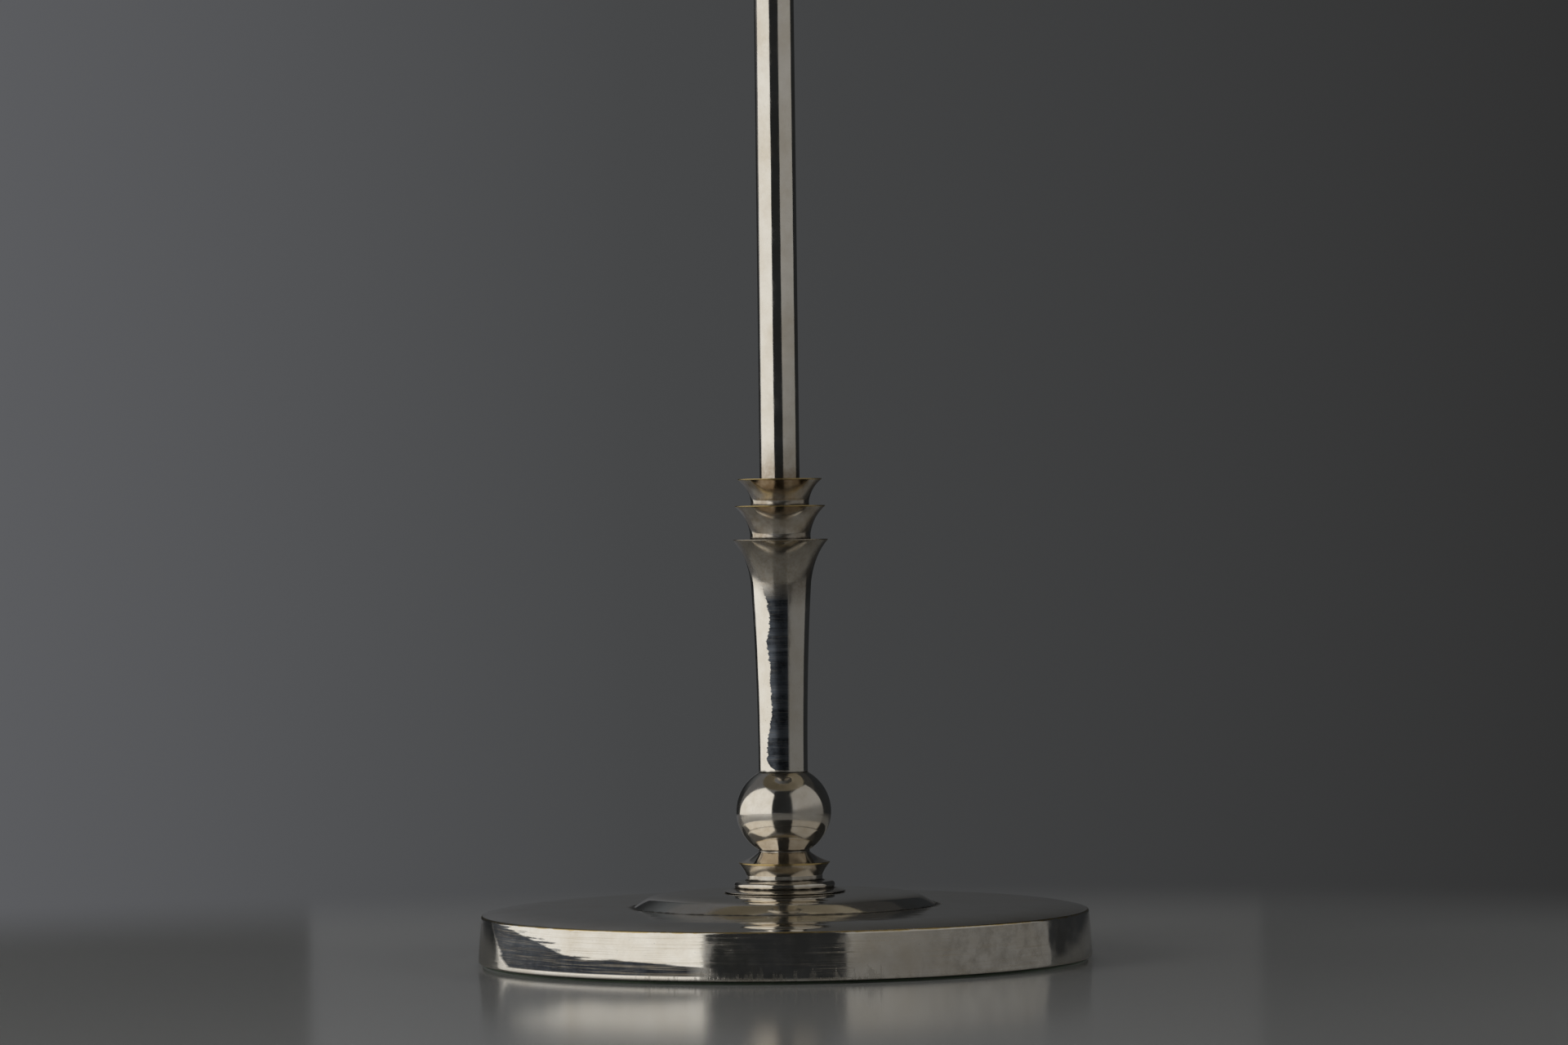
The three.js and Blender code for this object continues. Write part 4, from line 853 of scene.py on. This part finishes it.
def mesh_of_rings(name, rings, ends=False):
    """A skin over rings of vertices. It has a face at each end if wanted, or else closes on itself."""
    sides, count = len(rings[0]), len(rings)
    faces = []
    for i in range(count - 1 if ends else count):
        low, high = i * sides, (i + 1) % count * sides
        for step in range(sides):
            after = (step + 1) % sides
            faces.append([low + step, low + after, high + after, high + step])
    if ends:
        faces += [list(range(sides)), [(count - 1) * sides + step for step in range(sides)]]
    mesh = bpy.data.meshes.new(name)
    mesh.from_pydata([vertex for ring in rings for vertex in ring], [], faces)
    return mesh


def turn_key(name):
    """Moulded key of the switch, along +X: a round neck that spreads into a flat oval for the fingers."""
    low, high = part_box("switch_key")
    start, length, centre = low.x / MM, (high.x - low.x) / MM, middle("switch_key")
    neck, neck_length, half_width, half_thickness = 3.6, 6.2, 8.0, 1.6
    half_length = (length - neck_length) / 2
    sides, stations = 72, 56
    rings = []
    for i in range(stations + 1):
        # Stations crowd towards both ends, where the shape turns quickly
        x = length * 0.5 * (1 - math.cos(math.pi * i / stations))
        out = (x - neck_length - half_length) / half_length
        oval = half_width * math.sqrt(max(0.0, 1 - out * out))
        spread = min(1.0, max(0.0, (x - neck_length + 0.6) / 3.0))
        spread = spread * spread * (3 - 2 * spread)
        high_half = max(neck * (1 - spread), oval) if x < neck_length + 3 else oval
        if x < neck_length:
            high_half = neck
        end_round = math.sqrt(max(0.0, 1 - max(0.0, out) ** 8))
        thick_half = (neck + (half_thickness - neck) * spread) * end_round
        if i in (0, stations):
            high_half = thick_half = neck - 0.5 if i == 0 else 0.05
        roundness = 2 / (2 + 0.8 * spread)
        ring = []
        for step in range(sides):
            c, s = math.cos(2 * math.pi * step / sides), math.sin(2 * math.pi * step / sides)
            across = thick_half * math.copysign(abs(s) ** roundness, s)
            up = high_half * math.copysign(abs(c) ** roundness, c)
            ring.append(((start + x) * MM, across * MM, (centre + up) * MM))
        rings.append(ring)
    return new_piece(name, mesh_of_rings(name, rings, ends=True))


# Shade carrier and shade


RING_BORE = SHELL_THREAD_RADIUS + 0.3


def flat_ring_outline(node_name):
    """Flat ring that fits over the holder's thread."""
    outer, height = reach(node_name), tall(node_name)
    return Outline(RING_BORE, 0).line(outer, 0).line(outer, height).line(RING_BORE, height)


def wire_ring(name, node_name):
    """Ring of round wire."""
    wire = tall(node_name) / 2
    centre = reach(node_name) - wire
    outline = Outline(centre + wire, wire).arc(centre, wire, wire, wire, 15, 345, steps=22)
    return turned(name, outline, foot(node_name), BASE_SEGMENTS, softness=0)


def hub_outline():
    """Hub that drops into the carrier's top ring and rests on it by its flange."""
    skirt, wall, flange, hole, thick, drop = 15.2, 1.2, reach("shade_hub"), 11.0, 1.2, 5.0
    outline = Outline(skirt - wall, 0).line(skirt, 0).line(skirt, drop).line(flange, drop).edge()
    outline.line(flange, drop + thick).edge().line(hole, drop + thick).line(hole, drop)
    return outline.line(skirt - wall, drop)


SHADE_FOOT = foot("shade_cover")
SHADE_HEIGHT = tall("shade_cover")
SHADE_BOTTOM_RADIUS = reach("shade_cover")
SHADE_TOP_RADIUS = 145.0
SHADE_SLOPE = (SHADE_BOTTOM_RADIUS - SHADE_TOP_RADIUS) / SHADE_HEIGHT
# How far the cone opens when it is laid flat: its radius over its slant
SHADE_LEAN = SHADE_SLOPE / math.hypot(1, SHADE_SLOPE)
LINEN_THICKNESS = 0.45
CARD_THICKNESS = 1.0
LAP = math.radians(3.4)


def shade_radius(height):
    """Outside radius of the shade at a height above its bottom edge."""
    return SHADE_BOTTOM_RADIUS - SHADE_SLOPE * height


def linen_cover():
    """Outer cloth: one sheet round the cone, its end lapped at the back."""
    around, rows = 360, 48
    columns = round(around * (1 + LAP / (2 * math.pi)))
    vertices, flat, faces = [], [], []
    for inside_face in (0, 1):
        for i in range(columns + 1):
            turn = 2 * math.pi * i / around
            over = min(1.0, max(0.0, (i - around + 3) / 3))
            for j in range(rows + 1):
                height = SHADE_HEIGHT * j / rows
                radius = shade_radius(height)
                wave = noise.noise(Vector((radius * math.cos(turn), radius * math.sin(turn), height)) / 30)
                out = radius - inside_face * LINEN_THICKNESS + 0.5 * over + 0.08 * wave
                vertices.append(in_metres(out, math.pi / 2 + turn, SHADE_FOOT + height))
                slant, fan = radius / SHADE_LEAN * MM, (turn - math.pi) * SHADE_LEAN
                flat.append((slant * math.sin(fan), slant * math.cos(fan)))
    row = rows + 1
    side = (columns + 1) * row
    for i in range(columns):
        a = i * row
        for j in range(a, a + rows):
            faces.append([j, j + row, j + row + 1, j + 1])
            faces.append([side + j + 1, side + j + row + 1, side + j + row, side + j])
        faces += [[j, j + row, side + j + row, side + j] for j in (a, a + rows)]
    for a in (0, columns * row):
        faces += [[j, j + 1, side + j + 1, side + j] for j in range(a, a + rows)]
    mesh = bpy.data.meshes.new("linen_cover")
    mesh.from_pydata(vertices, [], faces)
    layer = mesh.uv_layers.new(name="flat")
    layer.data.foreach_set("uv", [c for loop in mesh.loops for c in flat[loop.vertex_index]])
    return new_piece("linen_cover", mesh)


def lining_outline():
    """Card behind the linen."""
    inner, outer = LINEN_THICKNESS + CARD_THICKNESS, LINEN_THICKNESS + 0.05
    low, high = shade_radius(0), shade_radius(SHADE_HEIGHT)
    outline = Outline(low - inner, 0).line(low - outer, 0)
    return outline.line(high - outer, SHADE_HEIGHT, steps=40).line(high - inner, SHADE_HEIGHT)


def rolled_hem(name, ring, edge_height, up):
    """Cloth turned over the shade's edge and tucked round its wire ring. Up is 1 at the top, -1 below."""
    band, cloth_thickness = 8.0, 0.4
    wire = tall(ring) / 2 + cloth_thickness
    ring_radius, ring_height = reach(ring) - tall(ring) / 2, middle(ring) - SHADE_FOOT
    start, edge = edge_height - up * band, shade_radius(edge_height)
    outline = Outline(shade_radius(start) - 0.2, start)
    outline.line(shade_radius(start) + cloth_thickness, start)
    outline.line(edge + cloth_thickness, edge_height - 0.2 * up, steps=8)
    fold = edge_height + 0.5 * up
    outline.curve((edge + cloth_thickness, fold), (edge - 0.8, fold), steps=8)
    outline.arc(ring_radius, ring_height, wire, wire, 60 * up, 300 * up, steps=24)
    tuck = edge_height - 5.5 * up
    outline.line(shade_radius(tuck) - LINEN_THICKNESS - CARD_THICKNESS - 0.3, tuck)
    hem = turned(name, outline, SHADE_FOOT, BASE_SEGMENTS, softness=0.1)
    layer = hem.data.uv_layers.new(name="flat")
    places = [hem.data.vertices[loop.vertex_index].co for loop in hem.data.loops]
    layer.data.foreach_set("uv", [c for p in places for c in (math.atan2(p.y, p.x) * edge * MM, p.z * 1.2)])
    return hem


# Finishes

# Bright plate that is kept polished, and plate that years have turned brown
plated = silver_plate("Silver plate on turned brass")
plated_collar = silver_plate("Silver plate, aged", aged=0.78)
# Fine turning marks smear the reflections of the foot mouldings
plated_foot = silver_plate("Silver plate, foot mouldings", aged=0.45, brushed=0.5)
# Warmer towards the foot of the stem and the underside of the ball, where polishing misses
plated_stem = silver_plate("Silver plate, drawn stem", partial(
    yellowed, start=top("collar_upper") + 13, over=12, most=0.75), aged=0.12)
plated_ball = silver_plate("Silver plate, yellowed ball", partial(
    yellowed, start=foot("ball") + 18, over=14, most=0.3), aged=0.2)
# Blue-black tarnish with torn borders
plated_column = silver_plate("Silver plate, column with tarnish", column_marks)
plated_base = silver_plate("Silver plate, spun base with tarnish", rim_marks)
# Lacquer over fine turning makes a soft yellow shine
brass = grained("Brass, satin lacquered", "b0945a", "d6bd85", 1.2, (0.2, 0.34), 0.004, Metallic=1.0)
# Drawing leaves long faint lines, and brazing dulls them
brass_wire = grained("Brass wire, drawn and brazed", "a88c54", "cfb57c", 0.6, (0.28, 0.45), 0.006,
                     stretch=(1.0, 1.0, 0.3), Metallic=1.0)
# Thin nickel is greyer and less bright than silver
nickel = grained("Nickel-plated brass sheet", "a8a49a", "cdc9bf", 1.0, (0.18, 0.32), 0.003, Metallic=1.0)
# Zinc gives steel a cool satin grey
steel = grained("Steel, zinc plated", "7d8084", "a3a6a9", 1.5, (0.3, 0.5), 0.006, Metallic=1.0)
# A sand mould leaves a rough dark skin
iron = grained("Grey iron, as cast", "2c2a28", "4a4744", 0.9, (0.65, 0.85), 0.12, Metallic=0.6)
# Matted fibres, quite without shine
felt = grained("Pressed wool felt", "222b20", "3f4c3a", 0.5, (0.9, 1.0), 0.2, Sheen_Weight=0.3)
# Pressed in a polished mould, so smooth, with a faint mottle of its filler
phenolic = grained("Phenolic moulding, dark brown", "1e120c", "3a251a", 0.8, (0.22, 0.38), 0.004)
# Glaze is glassy and a little uneven over the white body
porcelain = grained("Glazed porcelain", "dfd9cb", "efeadf", 2.0, (0.08, 0.16), 0.003, Coat_Weight=0.5)
# Etched glass scatters light, so it glows softly where it is lit
opal = grained("Opal glass, satin etched", "ece7dc", "f6f3eb", 1.5, (0.2, 0.3), 0.002, Subsurface_Weight=0.15,
               Subsurface_Scale=0.004)
# Smooth paper with a slight tooth
card = grained("White card lining", "ded5c0", "ece4d2", 0.8, (0.55, 0.7), 0.01)
cloth = linen()

# Dressing

inlet = middle("cord_bush")
spun_base = turned("spun_base", base_outline(), foot("base_shell"), BASE_SEGMENTS)
spun_base = drilled(spun_base, (0, reach("base_shell") - 6, inlet), (0, reach("base_shell") + 3, inlet), 5.0)
dress(spun_base, "stand", "silver_plate", plated_base, "base_shell")
dress(turned("wool_felt_pad", rod_outline(reach("felt_pad"), tall("felt_pad")), foot("felt_pad"),
             BASE_SEGMENTS, 0.35), "stand", "felt", felt, "felt_pad")
dress(turned("inlet_bush", bush_outline(), segments=SMALL_SEGMENTS, place=to_the_back("cord_bush")),
      "stand", "phenolic", phenolic, "cord_bush")

# Each piece of the stack, with how deep it stands in the one below
for name, node_name, depth, outline, segments, plate in (
    ("domed_plate", "raised_plate", 0, plate_outline(), BASE_SEGMENTS, plated),
    ("beaded_foot_ring", "foot_ring", 0, foot_ring_outline(), STACK_SEGMENTS, plated_foot),
    ("cup_moulding", "foot_moulding", SPIGOT, foot_moulding_outline(), STACK_SEGMENTS, plated_foot),
    ("stem_ball", "ball", SPIGOT, ball_outline(), STACK_SEGMENTS, plated_ball),
    ("trumpet_column", "column", SPIGOT, column_outline(), STACK_SEGMENTS, plated_column),
    ("lower_trumpet_collar", "collar_lower", SPIGOT, collar_outline("collar_lower", 10.6, 4.0, 9.9, 10.5),
     STACK_SEGMENTS, plated_collar),
    ("upper_trumpet_collar", "collar_upper", SPIGOT, collar_outline("collar_upper", 10.2, 3.7, 7.8, 7.6),
     STACK_SEGMENTS, plated_collar),
    ("drawn_stem", "stem_tube", 0, stem_outline(), SMALL_SEGMENTS, plated_stem),
    ("beaded_stem_cap", "stem_cap", 0, stem_cap_outline(), SMALL_SEGMENTS, plated),
):
    dress(turned(name, outline, foot(node_name) + depth, segments), "stand", "silver_plate", plate, node_name)
dress(hex_nut("thin_nut", "top_nut"), "stand", "brass", brass, "top_nut")

waves = radial_waves()
wires = bent_wires()
EDISON_PITCH = 3.63
HOLDER_PITCH = 2.5
EDISON = {"Around": -1.0, "Along": 1 / (EDISON_PITCH * MM), "Depth": 0.9 * MM, "Within": 0.0,
          "RunOut": 2.5 * MM}

screw_height = middle("holder_grub_screw")
holder_cap = turned("holder_bell", holder_cap_outline(), foot("holder_cap"), SMALL_SEGMENTS)
holder_cap = drilled(holder_cap, (0, 4.0, screw_height), (0, 10.0, screw_height), 1.8)
dress(holder_cap, "stand", "brass", brass, "holder_cap")
key_height = middle("switch_spindle")
holder_shell = turned("threaded_holder_shell", holder_shell_outline(), foot("holder_shell"))
holder_shell = grown(holder_shell, waves, brass, Around=-1.0, Along=1 / (HOLDER_PITCH * MM), Depth=0.7 * MM,
                     Bottom=(foot("holder_shell") + SHELL_REST + 0.6) * MM,
                     Top=(top("holder_shell") + 1.0) * MM, RunOut=1.5 * MM,
                     Within=(SHELL_THREAD_RADIUS - 0.3) * MM)
holder_shell = drilled(holder_shell, (17.0, 0, key_height), (24.0, 0, key_height), 2.3)
dress(holder_shell, "stand", "brass", brass, "holder_shell")
dress(turned("socket_mouth_ring", mouth_ring_outline(), foot("mouth_ring")),
      "stand", "porcelain", porcelain, "mouth_ring")
dress(grown(turned("rolled_screw_shell", screw_shell_outline(), foot("screw_shell")), waves, brass,
            Bottom=foot("screw_shell") * MM, Top=top("screw_shell") * MM, **EDISON),
      "stand", "brass", brass, "screw_shell")
dress(grown(turned("threaded_bulb_cap", bulb_cap_outline(), foot("bulb_cap")), waves, nickel,
            Bottom=(foot("bulb_cap") + 2.6) * MM, Top=(top("bulb_cap") - 3.0) * MM, **EDISON),
      "stand", "brass", nickel, "bulb_cap")
dress(turned("opal_bulb", bulb_glass_outline(), foot("bulb_glass"), softness=0),
      "stand", "opal_glass", opal, "bulb_glass")

spindle_low, spindle_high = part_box("switch_spindle")
spindle_length = (spindle_high.x - spindle_low.x) / MM
spindle_place = Matrix.Translation((spindle_low.x, 0, key_height * MM)) @ Matrix.Rotation(math.pi / 2, 4, "Y")
dress(turned("key_spindle", rod_outline(2, spindle_length), segments=48, place=spindle_place),
      "switch", "brass", brass, "switch_spindle")
dress(turn_key("moulded_turn_key"), "switch", "phenolic", phenolic, "switch_key")

dress(turned("carrier_foot_ring", flat_ring_outline("carrier_base_ring"), foot("carrier_base_ring")),
      "stand", "brass", brass_wire, "carrier_base_ring")
dress(grown(turned("fluted_shade_ring", flat_ring_outline("shade_ring"), foot("shade_ring"), 360, 0.5),
            waves, brass, Around=30.0, Along=0.0, Depth=0.6 * MM, Bottom=(foot("shade_ring") + 0.2) * MM,
            Top=(top("shade_ring") - 0.2) * MM, RunOut=0.8 * MM, Within=(RING_BORE + 2) * MM),
      "stand", "brass", brass, "shade_ring")

WIRE = 1.5
bow_low, bow_high = top("carrier_base_ring") + 0.2, foot("carrier_top_ring") + 0.4
rise, belly = bow_high - bow_low, 41.0
mouth, bow_foot = reach("carrier_top_ring") - WIRE, reach("carrier_base_ring") - WIRE
bow = wire_path("bowed_carrier_wires", [
    (bow_foot, bow_low), (bow_foot, bow_low + 0.08 * rise), (belly, bow_low + 0.56 * rise),
    (mouth + 0.5 * (belly - mouth), bow_low + 0.87 * rise), (mouth, bow_high - WIRE), (mouth, bow_high),
])
dress(grown(bow, wires, brass_wire, Radius=WIRE * MM, Blob=2.1 * MM, Copies=3, Turn=-math.pi / 2),
      "stand", "brass", brass_wire, "carrier_wire_1", "carrier_wire_2", "carrier_wire_3")
dress(wire_ring("carrier_mouth_ring", "carrier_top_ring"), "stand", "brass", brass_wire, "carrier_top_ring")

dress(turned("flanged_hub", hub_outline(), foot("shade_hub")), "shade", "brass", brass, "shade_hub")
arm_height, ring_height = foot("shade_arm_1") + WIRE, foot("shade_top_ring") + WIRE
arm_bend, arm_end = 24.5, reach("shade_top_ring") - 2 * WIRE - 0.3
arm = wire_path("bent_spider_arms", [
    (12.5, arm_height), (arm_bend, arm_height), ((arm_bend + arm_end) / 2, (arm_height + ring_height) / 2),
    (arm_end, ring_height),
])
dress(grown(arm, wires, brass_wire, Radius=WIRE * MM, Blob=2.0 * MM, Copies=3, Turn=math.pi / 2),
      "shade", "brass", brass_wire, "shade_arm_1", "shade_arm_2", "shade_arm_3")
for name, node_name in (("top_wire_ring", "shade_top_ring"), ("bottom_wire_ring", "shade_bottom_ring")):
    dress(wire_ring(name, node_name), "shade", "brass", brass_wire, node_name)

dress(turned("shade_lining", lining_outline(), SHADE_FOOT, BASE_SEGMENTS),
      "shade", "linen", card, "shade_cover")
cover = dress(linen_cover(), "shade", "linen", cloth, "shade_cover")
hems = [dress(hem, "shade", "linen", cloth, "shade_cover") for hem in (
    rolled_hem("top_hem", "shade_top_ring", SHADE_HEIGHT, 1),
    rolled_hem("bottom_hem", "shade_bottom_ring", 0, -1),
)]

for hidden_finish, nodes in (
    (iron, ["base_weight"]),
    (brass, ["plate_spacer", "rod_nut", "centre_contact"]),
    (steel, ["rod_washer", "lock_washer", "tie_rod", "holder_grub_screw", "bulb_contact"]),
    (phenolic, ["switch_block", "bulb_insulator"]),
    (porcelain, ["porcelain_insert"]),
):
    for node_name in nodes:
        bpy.data.objects[node_name].material_slots[0].material = hidden_finish

# Studio


def unlit(name, colour, strength, low=None, high=None):
    """Emission for a light or flag, or a rise from one (height, strength) to another above it."""
    material = bpy.data.materials.new(name)
    material.use_nodes = True
    material.node_tree.nodes.clear()
    add = partial(node, material.node_tree)
    if low:
        height = add("SeparateXYZ", [add("TexCoord").outputs["Object"]]).outputs["Z"]
        strength = add("MapRange", [height, low[0], high[0], low[1], high[1]],
                       interpolation_type="SMOOTHSTEP")
    add("OutputMaterial", [add("Emission", [colour, strength])])
    return material


def toward(azimuth, distance, height):
    """A place seen from the lamp at an azimuth, where 0 is the camera's side and + is to the right."""
    angle = math.radians(azimuth)
    return (distance * math.sin(angle), -distance * math.cos(angle), height)


def flat_panel(name, corners, material):
    """A flat light or flag that the camera doesn't see. Its corners are azimuth, distance and height."""
    mesh = bpy.data.meshes.new(name)
    mesh.from_pydata([toward(*corner) for corner in corners], [], [list(range(len(corners)))])
    mesh.materials.append(material)
    panel = linked(name, mesh)
    panel.visible_camera = False
    panel.visible_shadow = False


def softbox(name, corners, material):
    """A panel on a wall beside the lamp, with its corners as azimuth and height."""
    flat_panel(name, [(azimuth, abs(WALL_DISTANCE / math.sin(math.radians(azimuth))), height)
                      for azimuth, height in corners], material)


WALL_DISTANCE = 0.9
STAGE_FOOT = -0.05
LEFT_STRENGTH = 0.8
RIGHT_STRENGTH = 0.28
RIGHT_LOW_STRENGTH = 0.14
FLAG_COLOUR = (0.85, 0.92, 1.0, 1.0)
FLAG_STRENGTH = 0.019
softbox("left_softbox", [(-29, STAGE_FOOT), (-29, 1.8), (-75, 1.35), (-112, 0.5), (-134, STAGE_FOOT)],
        unlit("Softbox, left", (1.0, 0.995, 0.98, 1.0), LEFT_STRENGTH))
softbox("right_softbox", [(22, STAGE_FOOT), (22, 2.6), (54, 1.7), (100, 1.2), (112, STAGE_FOOT)],
        unlit("Softbox, right", (1.0, 0.99, 0.97, 1.0), None,
              (0.08, RIGHT_LOW_STRENGTH), (0.34, RIGHT_STRENGTH)))
# Painted shade: the flags are dark panels in place of the dim room that the metal mirrors, glowing faintly as
# painted light, and the soft-topped one brighter upwards.
black = unlit("Black flag", FLAG_COLOUR, FLAG_STRENGTH)
soft_black = unlit("Black flag, soft top", FLAG_COLOUR, None, (0.3, FLAG_STRENGTH), (1.1, 0.1))
for name, start, end, distance, height, flag in (
    ("front_flag", -31, 24, 3.0, 4.0, black),
    ("right_flag", 111, 168, 1.3, 0.9, black),
    ("left_flag", -133, -169, 1.5, 1.1, soft_black),
):
    flat_panel(name, [(start, distance, STAGE_FOOT), (start, distance, height),
                      (end, distance, height), (end, distance, STAGE_FOOT)], flag)

FILL_AIM = Vector((0.0, 0.0, 0.45))
# Soft fills aimed at the shade, which polished metal doesn't mirror
for name, azimuth, distance, height, size, energy in (
    ("overhead_fill", 0, 0.01, 2.2, 1.4, 9.0),
    ("left_fill", -50, 1.7, 0.62, 0.7, 11.0),
    ("right_fill", 65, 1.7, 0.62, 0.7, 7.0),
    ("back_fill", 180, 1.7, 0.62, 0.7, 8.0),
):
    light = bpy.data.lights.new(name, "AREA")
    light.shape = "DISK"
    light.size = size
    light.energy = energy
    fill = linked(name, light)
    place = Vector(toward(azimuth, distance, height))
    aim = (FILL_AIM - place).to_track_quat("-Z", "Y")
    fill.matrix_world = Matrix.Translation(place) @ aim.to_matrix().to_4x4()
    fill.visible_glossy = False


def floor():
    """Plain table, satin, that runs out softly into the backdrop."""
    size, steps = 2.0, 64
    centre, near, far_edge = (0.0, 0.3, 0.0), 0.45, 0.75
    mesh = bpy.data.meshes.new("floor")
    corners = [(size * math.cos(2 * math.pi * i / steps), size * math.sin(2 * math.pi * i / steps), 0.0)
               for i in range(steps)]
    mesh.from_pydata(corners, [], [list(range(steps))])
    ground = linked("floor", mesh)
    material, add = new_material("Satin laminate table", Roughness=0.13, Base_Color=linear("858583"))
    tree = material.node_tree
    moved = add("VectorMath", [add("TexCoord").outputs["Object"], centre], "ADD")
    away = add("VectorMath", [moved], "LENGTH")
    fade = add("MapRange", [away, near, far_edge], interpolation_type="SMOOTHSTEP")
    mixed = add("MixShader", [fade, tree.nodes["Principled BSDF"], add("BsdfTransparent")])
    tree.links.new(mixed.outputs[0], tree.nodes["Material Output"].inputs["Surface"])
    mesh.materials.append(material)


def backdrop():
    """Grey backdrop with painted light: a little lighter on the left as the camera sees it, as if the left
    softbox fell on it.
    """
    world = bpy.data.worlds.new("Grey backdrop")
    bpy.context.scene.world = world
    world.use_nodes = True
    tree = world.node_tree
    across = node(tree, "SeparateXYZ", [node(tree, "TexCoord").outputs["Generated"]]).outputs["X"]
    # Painted light: the ramp lightens the backdrop towards the left.
    ramp = node(tree, "ValToRGB", [node(tree, "MapRange", [across, -0.15, 0.15])], stops=[
        (0.0, linear("5e5f62")), (0.42, linear("464748")), (1.0, linear("2f2f2f"))])
    tree.links.new(ramp.outputs[0], tree.nodes["Background"].inputs["Color"])


floor()
backdrop()

FOCAL_LENGTH = 133.9
CAMERA_DISTANCE = 2.04
CAMERA_HEIGHT = 0.152
CAMERA_YAW = -0.038
CAMERA_PITCH = 0.04
CAMERA_ROLL = -0.71

lens = bpy.data.cameras.new("camera")
lens.lens = FOCAL_LENGTH
lens.sensor_width = 36.0
view = Matrix.Translation((0.0, -CAMERA_DISTANCE, CAMERA_HEIGHT))
for degrees, axis in ((CAMERA_YAW, "Z"), (90 + CAMERA_PITCH, "X"), (CAMERA_ROLL, "Z")):
    view = view @ Matrix.Rotation(math.radians(degrees), 4, axis)
camera = linked("camera", lens)
camera.matrix_world = view
bpy.context.scene.camera = camera
bpy.context.scene.view_settings.view_transform = "Standard"
